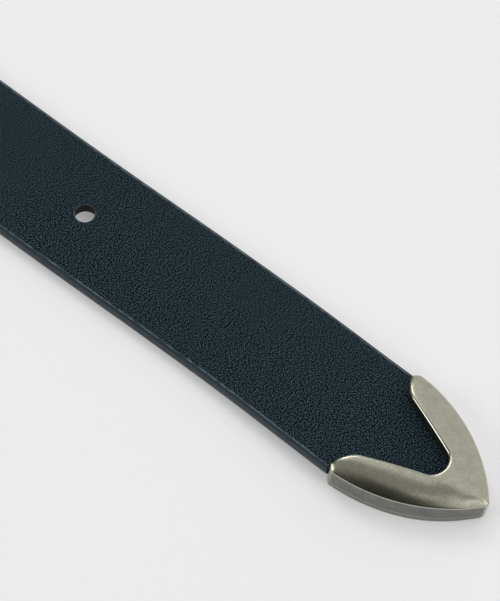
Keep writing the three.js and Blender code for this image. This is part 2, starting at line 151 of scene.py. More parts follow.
class BuckleSizes(bpy.types.PropertyGroup):
    """Sizes of the buckle and the keeper loop."""

    frame_width: length("Frame width", "Across the frame", 56.0)
    inner_width: length("Inner width", "Inside the frame", 38.0)
    reach: length("Reach", "From the bar to the frame's front", 35.0)
    heel: length("Heel", "From the bar to the frame's heel", 6.0)
    rail: length("Rail", "Width of the frame", 9.0)
    frame_height: length("Frame height", "Height of the frame", 7.4)
    side_height: length("Side height", "Height of the frame's upright outer side", 5.0)
    top_round: length("Top round", "Width of the round from the outer side to the top", 3.2)
    inner_round: length("Inner round", "Round of the frame's inner top edge", 1.4)
    front_radius: length("Front radius", "Outer front corners in plan", 13.0)
    inner_radius: length("Inner radius", "Inner front corners in plan", 7.0)
    heel_radius: length("Heel radius", "Outer heel corners in plan", 4.0)
    bar_radius: length("Bar radius", "Bar across the frame", 1.9)
    bar_height: length("Bar height", "Bar's middle above the table", 4.8)
    prong_width: length("Prong width", "Across the prong", 4.6)
    prong_thickness: length("Prong thickness", "Height of the prong", 2.6)
    eye_radius: length("Eye radius", "Prong's eye round the bar", 3.7)
    keeper_width: length("Keeper width", "Along the belt", 14.0)
    keeper_wall: length("Keeper wall", "Leather of the keeper", 1.8)
    keeper_clearance: length("Keeper clearance", "Beside the strap", 1.1)
    keeper_side: length("Keeper side", "Height of the keeper's sides", 8.5)
    keeper_crown: length("Keeper crown", "Rise of the keeper's top", 6.2)
    keeper_distance: length("Keeper distance", "From the buckle's bar", 31.0)
    keeper_corner: length("Keeper corner", "Inner radius of the keeper's lower corners", 2.4)
    keeper_roundness: bpy.props.FloatProperty(
        name="Keeper roundness", description="Power of the crown's superellipse", default=2.6)
    seam_pitch: length("Seam pitch", "From stitch to stitch", 3.2)
    seam_width: length("Seam width", "Across each row of stitches", 27.0)
    thread_radius: length("Thread radius", "Waxed thread", 0.38)


class BeltColours(bpy.types.PropertyGroup):
    """Colours of the belt and of the floor it lies on."""

    # The grain's pattern is the leather's own, but its two colours are partly painted light: the pebble tops
    # are lighter as a painted sheen, and the hollows between them are near black as painted shade.
    grain: colour("Grain", "Grain side of the leather", "#526b79")
    grain_low_and_crevice_shade: colour("Grain low", "Between the pebbles of the grain", "#000102")
    sheen: colour("Sheen", "Cold sheen of the waxed grain", "#d8ffff")
    edge: colour("Edge", "Painted edge of the leather", "#1e2e37")
    # Painted highlight: the light line that the top of the bevel catches, painted into the edge's colour.
    rubbed: colour("Rubbed", "Leather rubbed light along its bevel", "#5a6a70")
    flesh: colour("Flesh", "Flesh side of the leather", "#2b2724")
    core: colour("Core", "Dyed leather inside a punched hole", "#0a0f12")
    metal: colour("Metal", "Antique silver, light clouds", "#b2b09e")
    metal_low: colour("Metal low", "Antique silver, dark clouds", "#9b9a8b")
    polished: colour("Polished", "Antique silver, rubbed bright on its edges", "#d4d0c4")
    # This is patina that stays in the recesses. Down the sides, the same darkening is partly painted shade
    # for the shadowed floor that the side walls reflect.
    patina: colour("Patina", "Antique silver, darkened in the recesses and on the sides", "#6d7070")
    thread: colour("Thread", "Waxed thread", "#20262a")
    floor: colour("Floor", "Pale floor", "#e0e0e0")


class BeltSettings(bpy.types.PropertyGroup):
    """Everything that a user would change."""

    strap: bpy.props.PointerProperty(type=StrapSizes, name="Strap", description="Sizes of the strap")
    tip: bpy.props.PointerProperty(type=TipSizes, name="Tip", description="Sizes of the metal tip")
    buckle: bpy.props.PointerProperty(
        type=BuckleSizes, name="Buckle", description="Sizes of the buckle and the keeper")
    colours: bpy.props.PointerProperty(type=BeltColours, name="Colours", description="Colours of the belt")


# Helpers for meshes


def quads(rows, columns, around=False):
    """Faces of a grid of points in row order: each joins a point, the next in its row, and the two after."""
    r = np.arange(rows - 1)[:, None]
    c = np.arange(columns if around else columns - 1)[None, :]
    a = r * columns + c
    b = r * columns + (c + 1) % columns
    return np.stack([a, b, b + columns, a + columns], axis=-1).reshape(-1, 4)


def quarter(steps, radius=1.0):
    """A quarter round: how far along and how far down it is, as its angle goes from 0 to 90 degrees."""
    turn = np.linspace(0, math.pi / 2, steps + 1)
    return radius * np.sin(turn), radius * (1 - np.cos(turn))


def smooth(t):
    """0 before 0, 1 after 1, and three t squared minus two t cubed between."""
    t = np.clip(t, 0, 1)
    return t * t * (3 - 2 * t)


def mix(a, b, t):
    """A straight blend from a to b."""
    return a + (b - a) * t


def arc(centre, radius, start, end, steps):
    """Points of a plane arc, angles in radians."""
    turn = np.linspace(start, end, steps + 1)
    return np.stack([centre[0] + radius * np.cos(turn), centre[1] + radius * np.sin(turn)], axis=-1)


def make_piece(name, parts, materials, stands_for=(), fill=False, smooth_angle=None, mark=None):
    """Joins grids into one closed mesh piece that rides on the belt.

    parts holds (points, faces, material numbers, marks). Marks are three numbers for each point, kept for
    each face corner in the attribute called mark. Doubled points are made one, holes are closed where fill
    is set, and the outside is made to face out. Edges steeper than smooth_angle stay sharp."""
    places = np.concatenate([points.reshape(-1, 3) for points, _, _, _ in parts])
    marks = np.concatenate([values.reshape(-1, 3) for _, _, _, values in parts])
    counts = [points.reshape(-1, 3).shape[0] for points, _, _, _ in parts]
    starts = np.cumsum([0] + counts[:-1])
    faces = np.concatenate([corners + start for (_, corners, _, _), start in zip(parts, starts)])
    looks = np.concatenate([np.broadcast_to(look, len(corners)) for _, corners, look, _ in parts])
    mesh = bpy.data.meshes.new(name)
    mesh.from_pydata(places.tolist(), [], faces.tolist())
    mesh.polygons.foreach_set("material_index", looks.astype(np.int32))
    if mark is not None:
        layer = mesh.attributes.new(mark, "FLOAT_VECTOR", "CORNER")
        layer.data.foreach_set("vector", marks[faces.ravel()].astype(np.float32).ravel())
    work = bmesh.new()
    work.from_mesh(mesh)
    bmesh.ops.remove_doubles(work, verts=work.verts, dist=WELD)
    bmesh.ops.dissolve_degenerate(work, edges=work.edges, dist=WELD)
    if fill:
        bmesh.ops.holes_fill(work, edges=work.edges, sides=0)
    bmesh.ops.recalc_face_normals(work, faces=work.faces)
    work.to_mesh(mesh)
    work.free()
    mesh.polygons.foreach_set("use_smooth", np.ones(len(mesh.polygons), dtype=bool))
    if smooth_angle is not None:
        mesh.set_sharp_from_angle(angle=smooth_angle)
    for material in materials:
        mesh.materials.append(material)
    piece = bpy.data.objects.new(name, mesh)
    bpy.context.scene.collection.objects.link(piece)
    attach(piece, BODY)
    if stands_for:
        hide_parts(*stands_for)
    return piece


def swept(centres, sides, ups, half_widths, half_heights, power=2.0, columns=24):
    """A closed bar: a superellipse of the given power carried along a line of centres. Each section lies
    along its own side and up directions. Where both half sizes are 0, the bar ends in a point."""
    turn = np.linspace(0, 2 * math.pi, columns, endpoint=False)
    over = np.sign(np.cos(turn)) * np.abs(np.cos(turn)) ** (2 / power)
    above = np.sign(np.sin(turn)) * np.abs(np.sin(turn)) ** (2 / power)
    width = half_widths[:, None, None] * over[None, :, None] * sides[:, None, :]
    height = half_heights[:, None, None] * above[None, :, None] * ups[:, None, :]
    return centres[:, None, :] + width + height, quads(len(centres), columns, around=True)


def run_of(line):
    """How far along itself each point of a line lies: the sum of the straight lengths before it."""
    return np.concatenate([[0], np.cumsum(np.hypot(*np.diff(line, axis=0).T))])


def drawn_in(run, rounding):
    """Sizes along a bar whose ends are quarter circles: 0 at an end, 1 from the rounding's length on."""
    near = np.minimum(run - run[0], run[-1] - run) / rounding
    return np.sqrt(1 - (1 - np.clip(near, 0, 1)) ** 2)


# Materials


def add_node(tree, kind, inputs=(), **settings):
    """Adds a node. settings are the node's own, made first. inputs maps a socket's name or number to the
    output that feeds it or to its value."""
    node = tree.nodes.new(kind)
    for key, value in settings.items():
        setattr(node, key, value)
    for name, source in dict(inputs).items():
        if isinstance(source, bpy.types.NodeSocket):
            tree.links.new(source, node.inputs[name])
        else:
            node.inputs[name].default_value = source
    return node


def new_material(name):
    """An empty node material with its output node."""
    material = bpy.data.materials.new(name)
    material.use_nodes = True
    tree = material.node_tree
    tree.nodes.clear()
    return material, tree, tree.nodes.new("ShaderNodeOutputMaterial")


def rgba(value, share=1.0):
    """A colour, or a share of its light, with full alpha."""
    return (*(share * c for c in value), 1.0)


def grain_leather(colours):
    """Bridle leather, drum dyed blue-black and lightly embossed with a fine pebble grain, then waxed.

    To the eye: near black with a cold cast, a soft sheen, and pebbles 0.43 mm apart, a little longer
    along the belt. The finest real creases are too small to show at the photograph's scale, so the
    pebbles are drawn coarser and deeper than life. The pattern follows the leather: it is laid out on
    length, width and depth in the uncut hide. Its colour is partly painted light: the pebble tops are
    painted lighter, as a painted sheen, and the hollows between them near black, as painted shade."""
    material, tree, output = new_material("Embossed bridle leather, waxed")
    flat = add_node(tree, "ShaderNodeAttribute", attribute_name="flat").outputs["Vector"]
    drift = add_node(tree, "ShaderNodeTexNoise", {"Vector": flat, "Scale": 1 / (1.3 * MM), "Detail": 1.0})
    centred = add_node(
        tree, "ShaderNodeVectorMath", {0: drift.outputs["Color"], 1: (0.5, 0.5, 0.5)}, operation="SUBTRACT")
    small = add_node(
        tree, "ShaderNodeVectorMath", {0: centred.outputs["Vector"], "Scale": 0.2 * MM}, operation="SCALE")
    moved = add_node(tree, "ShaderNodeVectorMath", {0: flat, 1: small.outputs["Vector"]}, operation="ADD")
    longer = add_node(
        tree, "ShaderNodeMapping", {"Vector": moved.outputs["Vector"], "Scale": (0.8, 1.0, 1.0)})
    pebbles = add_node(
        tree, "ShaderNodeTexVoronoi",
        {"Vector": longer.outputs["Vector"], "Scale": 1 / (0.43 * MM), "Randomness": 0.75},
        voronoi_dimensions="2D", feature="F1")
    shade = add_node(
        tree, "ShaderNodeMapRange",
        {"Value": pebbles.outputs["Distance"], "From Min": 0.1, "From Max": 0.38})
    # Painted light: the pebble tops take the light colour as a painted sheen, and the hollows take the near
    # black one as painted shade.
    tone = add_node(
        tree, "ShaderNodeMix",
        {"Factor": shade.outputs["Result"], "A": rgba(colours.grain), "B": rgba(colours.grain_low_and_crevice_shade)},
        data_type="RGBA")
    broad = add_node(
        tree, "ShaderNodeTexNoise",
        {"Vector": flat, "Scale": 1 / (9 * MM), "Detail": 4.0, "Roughness": 0.55})
    rough = add_node(
        tree, "ShaderNodeMapRange",
        {"Value": broad.outputs["Fac"], "From Min": 0.3, "From Max": 0.7, "To Min": 0.34, "To Max": 0.42})
    bump = add_node(
        tree, "ShaderNodeBump",
        {"Height": pebbles.outputs["Distance"], "Strength": 1.0, "Distance": 0.3 * MM}, invert=True)
    shader = add_node(
        tree, "ShaderNodeBsdfPrincipled",
        {"Base Color": tone.outputs["Result"], "Roughness": rough.outputs["Result"],
         "Normal": bump.outputs["Normal"], "IOR": 1.5, "Specular IOR Level": 0.12,
         "Specular Tint": rgba(colours.sheen)})
    tree.links.new(shader.outputs[0], output.inputs[0])
    return material


def painted_edge(colours):
    """Leather edge, rounded with an edge tool, painted and burnished.

    To the eye: smooth and near black, with small nicks and streaks 0.8 mm across, and a painted highlight:
    a light colour in a broken line where the bevel meets the grain side. The leather's own depth
    coordinate says where that is."""
    material, tree, output = new_material("Painted and burnished leather edge")
    flat = add_node(tree, "ShaderNodeAttribute", attribute_name="flat").outputs["Vector"]
    depth = add_node(tree, "ShaderNodeSeparateXYZ", {"Vector": flat}).outputs["Z"]
    corner = add_node(
        tree, "ShaderNodeMapRange", {"Value": depth, "From Min": -0.14 * MM, "From Max": -0.01 * MM},
        interpolation_type="SMOOTHSTEP")
    place = add_node(tree, "ShaderNodeTexCoord").outputs["Object"]
    stretched = add_node(tree, "ShaderNodeMapping", {"Vector": place, "Scale": (0.35, 1.0, 1.0)})
    streaks = add_node(
        tree, "ShaderNodeTexNoise",
        {"Vector": stretched.outputs["Vector"], "Scale": 1 / (0.8 * MM), "Detail": 4.0, "Roughness": 0.6})
    rough = add_node(
        tree, "ShaderNodeMapRange",
        {"Value": streaks.outputs["Fac"], "From Min": 0.3, "From Max": 0.7, "To Min": 0.38, "To Max": 0.6})
    broken = add_node(
        tree, "ShaderNodeMapRange", {"Value": streaks.outputs["Fac"], "From Min": 0.42, "From Max": 0.58})
    # Painted highlight: a broken light line along the top of the bevel.
    painted_bevel_highlight = add_node(
        tree, "ShaderNodeMath", {0: corner.outputs["Result"], 1: broken.outputs["Result"]},
        operation="MULTIPLY")
    tone = add_node(
        tree, "ShaderNodeMix",
        {"Factor": painted_bevel_highlight.outputs["Value"], "A": rgba(colours.edge), "B": rgba(colours.rubbed)},
        data_type="RGBA")
    bump = add_node(
        tree, "ShaderNodeBump", {"Height": streaks.outputs["Fac"], "Strength": 0.5, "Distance": 0.1 * MM})
    shader = add_node(
        tree, "ShaderNodeBsdfPrincipled",
        {"Base Color": tone.outputs["Result"], "Roughness": rough.outputs["Result"],
         "Normal": bump.outputs["Normal"], "IOR": 1.5, "Specular IOR Level": 0.35})
    tree.links.new(shader.outputs[0], output.inputs[0])
    return material


def punched_wall(colours):
    """Drum dyed leather cut through by a punch.

    To the eye: almost black and matte, with a fibre of a quarter of a millimetre."""
    material, tree, output = new_material("Dyed leather, punched through")
    place = add_node(tree, "ShaderNodeTexCoord").outputs["Object"]
    fibres = add_node(tree, "ShaderNodeTexNoise", {"Vector": place, "Scale": 1 / (0.25 * MM), "Detail": 2.0})
    bump = add_node(
        tree, "ShaderNodeBump", {"Height": fibres.outputs["Fac"], "Strength": 0.4, "Distance": 0.08 * MM})
    shader = add_node(
        tree, "ShaderNodeBsdfPrincipled",
        {"Base Color": rgba(colours.core), "Roughness": 0.6, "Normal": bump.outputs["Normal"],
         "Specular IOR Level": 0.15})
    tree.links.new(shader.outputs[0], output.inputs[0])
    return material


def flesh_side(colours):
    """Flesh side of vegetable tanned leather, dyed and buffed.

    To the eye: dull, with fibres of about half a millimetre, a warmer dark than the grain side."""
    material, tree, output = new_material("Buffed flesh side of leather")
    place = add_node(tree, "ShaderNodeTexCoord").outputs["Object"]
    fibres = add_node(
        tree, "ShaderNodeTexNoise",
        {"Vector": place, "Scale": 1 / (0.6 * MM), "Detail": 5.0, "Roughness": 0.7})
    tone = add_node(
        tree, "ShaderNodeMix",
        {"Factor": fibres.outputs["Fac"], "A": rgba(colours.flesh, 0.6), "B": rgba(colours.flesh)},
        data_type="RGBA")
    bump = add_node(
        tree, "ShaderNodeBump", {"Height": fibres.outputs["Fac"], "Strength": 0.6, "Distance": 0.12 * MM})
    shader = add_node(
        tree, "ShaderNodeBsdfPrincipled",
        {"Base Color": tone.outputs["Result"], "Roughness": 0.85, "Normal": bump.outputs["Normal"],
         "Specular IOR Level": 0.2})
    tree.links.new(shader.outputs[0], output.inputs[0])
    return material


def antique_silver(colours):
    """Zinc alloy casting plated in antique silver and rubbed back by hand.

    To the eye: warm grey, in clouds 3 mm across with finer ones of 0.45 mm in them, polished bright
    along its edges, and darker and duller in its recesses, where patina stays, and down its sides, where
    the darkening is partly patina and partly painted shade. The piece's attribute says where: its first
    number is how much the metal is rubbed, its second how much patina and painted shade it has."""
    material, tree, output = new_material("Antique silver plated zinc casting")
    place = add_node(tree, "ShaderNodeTexCoord").outputs["Object"]
    mark = add_node(tree, "ShaderNodeAttribute", attribute_name="wear")
    wear = add_node(tree, "ShaderNodeSeparateXYZ", {"Vector": mark.outputs["Vector"]})
    clouds = add_node(
        tree, "ShaderNodeTexNoise",
        {"Vector": place, "Scale": 1 / (3.0 * MM), "Detail": 3.0, "Roughness": 0.5})
    fine = add_node(
        tree, "ShaderNodeTexNoise",
        {"Vector": place, "Scale": 1 / (0.45 * MM), "Detail": 2.0, "Roughness": 0.6})
    blend = add_node(
        tree, "ShaderNodeMix", {"Factor": 0.6, "A": clouds.outputs["Fac"], "B": fine.outputs["Fac"]},
        data_type="FLOAT")
    cloudy = add_node(
        tree, "ShaderNodeMapRange", {"Value": blend.outputs["Result"], "From Min": 0.35, "From Max": 0.65})
    tone = add_node(
        tree, "ShaderNodeMix",
        {"Factor": cloudy.outputs["Result"], "A": rgba(colours.metal_low), "B": rgba(colours.metal)},
        data_type="RGBA")
    uneven = add_node(
        tree, "ShaderNodeMapRange",
        {"Value": blend.outputs["Result"], "From Min": 0.3, "From Max": 0.7, "To Min": 1.0, "To Max": 0.65})
    dark = add_node(
        tree, "ShaderNodeMath", {0: wear.outputs["Y"], 1: uneven.outputs["Result"]}, operation="MULTIPLY")
    aged = add_node(
        tree, "ShaderNodeMix",
        {"Factor": dark.outputs["Value"], "A": tone.outputs["Result"], "B": rgba(colours.patina)},
        data_type="RGBA")
    final = add_node(
        tree, "ShaderNodeMix",
        {"Factor": wear.outputs["X"], "A": aged.outputs["Result"], "B": rgba(colours.polished)},
        data_type="RGBA")
    satin = add_node(
        tree, "ShaderNodeMapRange", {"Value": cloudy.outputs["Result"], "To Min": 0.25, "To Max": 0.2})
    dull = add_node(
        tree, "ShaderNodeMix", {"Factor": dark.outputs["Value"], "A": satin.outputs["Result"], "B": 0.42},
        data_type="FLOAT")
    rough = add_node(
        tree, "ShaderNodeMix", {"Factor": wear.outputs["X"], "A": dull.outputs["Result"], "B": 0.17},
        data_type="FLOAT")
    bump = add_node(
        tree, "ShaderNodeBump", {"Height": fine.outputs["Fac"], "Strength": 0.3, "Distance": 0.02 * MM})
    shader = add_node(
        tree, "ShaderNodeBsdfPrincipled",
        {"Base Color": final.outputs["Result"], "Metallic": 1.0, "Roughness": rough.outputs["Result"],
         "Normal": bump.outputs["Normal"]})
    tree.links.new(shader.outputs[0], output.inputs[0])
    return material


def waxed_thread(colours):
    """Twisted linen thread, dyed dark and drawn through wax.

    To the eye: almost black, a little lighter than the leather, with a low sheen and a twist of 0.3 mm."""
    material, tree, output = new_material("Waxed linen thread")
    place = add_node(tree, "ShaderNodeTexCoord").outputs["Object"]
    twist = add_node(tree, "ShaderNodeTexNoise", {"Vector": place, "Scale": 1 / (0.3 * MM), "Detail": 2.0})
    tone = add_node(
        tree, "ShaderNodeMix",
        {"Factor": twist.outputs["Fac"], "A": rgba(colours.thread, 0.5), "B": rgba(colours.thread)},
        data_type="RGBA")
    bump = add_node(
        tree, "ShaderNodeBump", {"Height": twist.outputs["Fac"], "Strength": 0.5, "Distance": 0.08 * MM})
    shader = add_node(
        tree, "ShaderNodeBsdfPrincipled",
        {"Base Color": tone.outputs["Result"], "Roughness": 0.5, "Normal": bump.outputs["Normal"]})
    tree.links.new(shader.outputs[0], output.inputs[0])
    return material


def pale_floor(colours):
    """Matte opal acrylic sheet on a light table.

    To the eye: even and pale, with a faint glow that keeps the shadows light. The glow rises smoothly from
    1.9 m to 5.2 m off the middle, where the studio's panels give less."""
    material, tree, output = new_material("Matte opal acrylic light table")
    place = add_node(tree, "ShaderNodeTexCoord").outputs["Object"]
    distance = add_node(tree, "ShaderNodeVectorMath", {0: place}, operation="LENGTH")
    glow = add_node(
        tree, "ShaderNodeMapRange",
        {"Value": distance.outputs["Value"], "From Min": 1.9, "From Max": 5.2, "To Min": 0.3, "To Max": 1.1},
        interpolation_type="SMOOTHSTEP")
    shader = add_node(
        tree, "ShaderNodeBsdfPrincipled",
        {"Base Color": rgba(colours.floor), "Roughness": 0.9, "Specular IOR Level": 0.1,
         "Emission Color": rgba(colours.floor), "Emission Strength": glow.outputs["Result"]})
    tree.links.new(shader.outputs[0], output.inputs[0])
    return material


# The leather's materials, in the order of the faces' numbers, which are named here too.
STRAP_LOOKS = (grain_leather, painted_edge, flesh_side, punched_wall)
GRAIN, EDGE, FLESH, PUNCHED = range(len(STRAP_LOOKS))

# The materials made so far, by the name of the function that makes each.
MADE = {}


def material_of(maker, colours):
    """The material that maker builds, built once and then shared."""
    name = maker.__name__
    if name not in MADE:
        MADE[name] = maker(colours)
    return MADE[name]


# Places along the belt. Lengths are in metres from the back of the metal tip, +X towards its nose,
# until world() moves them to the belt's own frame.

# The gap between two pieces that rest on each other without being joined.
GAP = 0.3 * MM
# The power that puts the bow's widest place near the metal tip.
BOW_SKEW = 0.67
# Lengths of the strap: from the bar to where both layers lie together, the feathered end of the turned
# layer, and the tongue's blunt end, which stops short of its own point.
CLOSING_LENGTH = 18 * MM
FEATHER_LENGTH = 14 * MM
TONGUE_BLUNT = 1 * MM
# The path's stations, in each stretch before they are evened out, and then by length.
STRETCH_STATIONS = 200
PATH_STEP = 0.1 * MM


def nose_centre(tip):
    """Where the blunt nose's centre lies on the middle line: it touches both side arcs from inside."""
    return math.sqrt((tip.side_radius - tip.nose_radius) ** 2 - side_centre(tip) ** 2)


def side_centre(tip):
    """How far each side arc's centre lies beyond the belt's middle line."""
    return tip.side_radius - tip.half_width


def bar_place(strap):
    """Where the buckle's bar crosses the belt: a waist length behind the middle hole."""
    return -strap.first_hole - strap.hole_spacing * (strap.hole_count - 1) / 2 - strap.waist


def world(points, settings):
    """Moves points from the metal tip's frame to the belt's: the whole belt is centred along X."""
    tip = settings.tip
    nose = nose_centre(tip) + tip.nose_radius
    end = bar_place(settings.strap) - settings.buckle.reach
    return points - np.array([(nose + end) / 2, 0, 0])


def bow_at(x, strap):
    """How far the strap lies to its left at x: the bow times the cube of a sine, drawn towards the tip."""
    t = np.clip(-x / strap.bow_length, 0, 1)
    return strap.bow * np.sin(math.pi * t ** BOW_SKEW) ** 3


def strap_path(settings):
    """The strap's flesh side as one line of stations, evenly spaced.

    It runs from the tongue down to the table, along it, up a smooth step over the turned layer, half a turn
    round the bar, and back under itself. Each station has place, leather thickness, half width and the
    direction from flesh to grain, which is the line's own direction turned a quarter."""
    strap, buckle, tip = settings.strap, settings.buckle, settings.tip
    bar = bar_place(strap)
    full, thin = strap.thickness, strap.turned_thickness
    tongue_end = math.sqrt(strap.tongue_radius ** 2 - side_centre(tip) ** 2) - TONGUE_BLUNT
    stack, step_top = strap.stack_height, bar + strap.step_start
    wrap = buckle.bar_radius + GAP
    turned_top = stack - GAP

    # The turning points before and after the half turn round the bar. Columns: place along the belt, height
    # of the flesh side and thickness.
    above = (
        (tongue_end, strap.tip_lift, full),
        (0, strap.tip_lift, full),
        (-strap.lift_length, 0, full),
        (step_top + strap.step_length, 0, full),
        (step_top, stack, full),
        (bar + strap.skive_length, stack, full),
        (bar, buckle.bar_height + wrap, thin),
    )
    below = (
        (bar, buckle.bar_height - wrap, thin),
        (bar + CLOSING_LENGTH, turned_top, thin),
        (bar + strap.turned_length - FEATHER_LENGTH, turned_top, thin),
        (bar + strap.turned_length, turned_top, strap.turned_end),
    )
    t = np.linspace(0, 1, STRETCH_STATIONS)[:, None]
    ease = np.concatenate([t, smooth(t), smooth(t)], axis=1)

    def stretches(stops):
        return [mix(np.array(start), np.array(end), ease) for start, end in zip(stops[:-1], stops[1:])]

    turn = math.pi * t[:, 0]
    turn_x, turn_z = bar - wrap * np.sin(turn), buckle.bar_height + wrap * np.cos(turn)
    half_turn = np.stack([turn_x, turn_z, np.full(len(turn), thin)], axis=-1)
    line = np.concatenate([*stretches(above), half_turn, *stretches(below)])
    run = run_of(line[:, :2])
    kept = np.concatenate([[True], np.diff(run) > NOTHING])
    line, run = line[kept], run[kept]
    s = np.arange(0, run[-1], PATH_STEP)
    x, z, thickness = (np.interp(s, run, column) for column in line.T)
    along_x, along_z = np.gradient(x, s), np.gradient(z, s)
    size = np.hypot(along_x, along_z)
    tongue = np.sqrt(np.maximum(strap.tongue_radius ** 2 - np.maximum(x, 0) ** 2, 0)) - side_centre(tip)
    in_tongue = (x > tip.back - GAP) & (s < tongue_end + TONGUE_BLUNT)
    half = np.where(in_tongue, tongue, strap.width / 2)
    return {"s": s, "x": x, "z": z, "up_x": along_z / size, "up_z": -along_x / size,
            "thickness": thickness, "half": half}


def along(path, key, s):
    """One of the path's columns at lengths s."""
    return np.interp(s, path["s"], path[key])


def on_strap(path, s, y, depth, settings):
    """Points at length s, y across the belt, and depth below the grain side."""
    height = along(path, "thickness", s) - depth
    x = along(path, "x", s) + height * along(path, "up_x", s)
    z = along(path, "z", s) + height * along(path, "up_z", s)
    return world(np.stack([x, y + bow_at(along(path, "x", s), settings.strap), z], axis=-1), settings)


def length_at(path, x, upper=True):
    """The length along the path where it passes x, on the upper run or on the turned back run."""
    turn = int(np.argmin(path["x"]))
    if upper:
        return float(np.interp(-x, -path["x"][:turn], path["s"][:turn]))
    return float(np.interp(x, path["x"][turn:], path["s"][turn:]))


def rows_between(stops):
    """Lengths for the strap's rows: stops are (length, spacing up to the next stop)."""
    pieces = []
    for (start, spacing), (end, _) in zip(stops[:-1], stops[1:]):
        pieces.append(np.linspace(start, end, max(1, round((end - start) / spacing)) + 1)[:-1])
    return np.concatenate([*pieces, [stops[-1][0]]])


# The strap's section: shares of its flat half width at which it has columns, first in the blocks round the
# openings and then outside them, steps round each corner, and places across the edge between the corners.
BLOCK_COLUMNS = np.linspace(-0.42, 0.42, 13)
OUTER_COLUMNS = np.array([0.5, 0.65, 0.8, 0.92, 0.985])
CORNER_STEPS = 7
EDGE_PLACES = np.array([0.25, 0.5, 0.75])
# How far the edge bulges between its corners, as a share of their radius, and the most of the thickness that
# one corner takes.
EDGE_BULGE = 0.12
MOST_CORNER = 0.38
# Half the length of the block round a hole, and how far the strap takes to widen at the metal tip's back.
BLOCK_REACH = 7 * MM
SHOULDER_REACH = 0.06 * MM

# The leather round an opening: shares of the way from the block's border to the rim, steps round the rim,
# and places down the wall.
BORDER_SHARES = (0, 0.3, 0.55, 0.75, 0.88, 0.96)
RIM_STEPS = 6
WALL_PLACES = (0.25, 0.5, 0.75)


def opening_tube(path, rows, flats, centre, straight, radius, flare, settings):
    """The leather round one punched opening: a grid from a block's border on the grain side, over a round
    rim, down the wall and out to the same border on the flesh side.

    The opening is an oblong, every point at one distance from a line that reaches straight to both
    sides of the centre. Each point of the border is joined to the oblong's nearest point. The block's
    columns are shares of the strap's flat half width, which flats gives for each row."""
    columns = BLOCK_COLUMNS
    rim = settings.strap.hole_rim
    end = np.ones(len(columns) - 1)
    border_s = np.concatenate([rows[:-1], rows[-1] * end, rows[:0:-1], rows[0] * end])
    border_y = np.concatenate([
        columns[0] * flats[:-1], columns[:-1] * flats[-1],
        columns[-1] * flats[:0:-1], columns[:0:-1] * flats[0]])
    on_line = np.clip(border_s - centre, -straight, straight)
    away_s, away_y = border_s - centre - on_line, border_y
    size = np.hypot(away_s, away_y)
    away_s, away_y = away_s / size, away_y / size

    def ring(distance):
        return centre + on_line + away_s * distance, away_y * distance

    def spread(t, distance):
        rim_s, rim_y = ring(distance)
        return mix(border_s, rim_s, t), mix(border_y, rim_y, t)

    inward, down = quarter(RIM_STEPS, rim)
    thickness = along(path, "thickness", ring(radius)[0])
    rings = [(*spread(t, radius + rim), 0 * border_s) for t in BORDER_SHARES]
    rings += [(*ring(radius + rim - i), d + 0 * border_s) for i, d in zip(inward, down)]
    rings += [(*ring(radius + flare * t), rim + (thickness - 2 * rim) * t) for t in WALL_PLACES]
    rings += [(*ring(radius + flare + rim - i), thickness - d) for i, d in zip(inward[::-1], down[::-1])]
    under = [spread(t, radius + flare + rim) for t in BORDER_SHARES[::-1]]
    rings += [(s, across, along(path, "thickness", s)) for s, across in under]
    points = np.stack([on_strap(path, s, across, depth, settings) for s, across, depth in rings])
    marks = np.stack([np.stack([s, across, -depth], axis=-1) for s, across, depth in rings])
    faces = quads(len(rings), len(border_s), around=True)
    band = faces[:, 0] // len(border_s)
    painted, punched = len(BORDER_SHARES), len(BORDER_SHARES) + RIM_STEPS // 2
    flesh = len(rings) - len(BORDER_SHARES) - 1
    looks = np.select([band < painted, band < punched, band < flesh], [GRAIN, EDGE, PUNCHED], FLESH)
    return points, faces, looks, marks


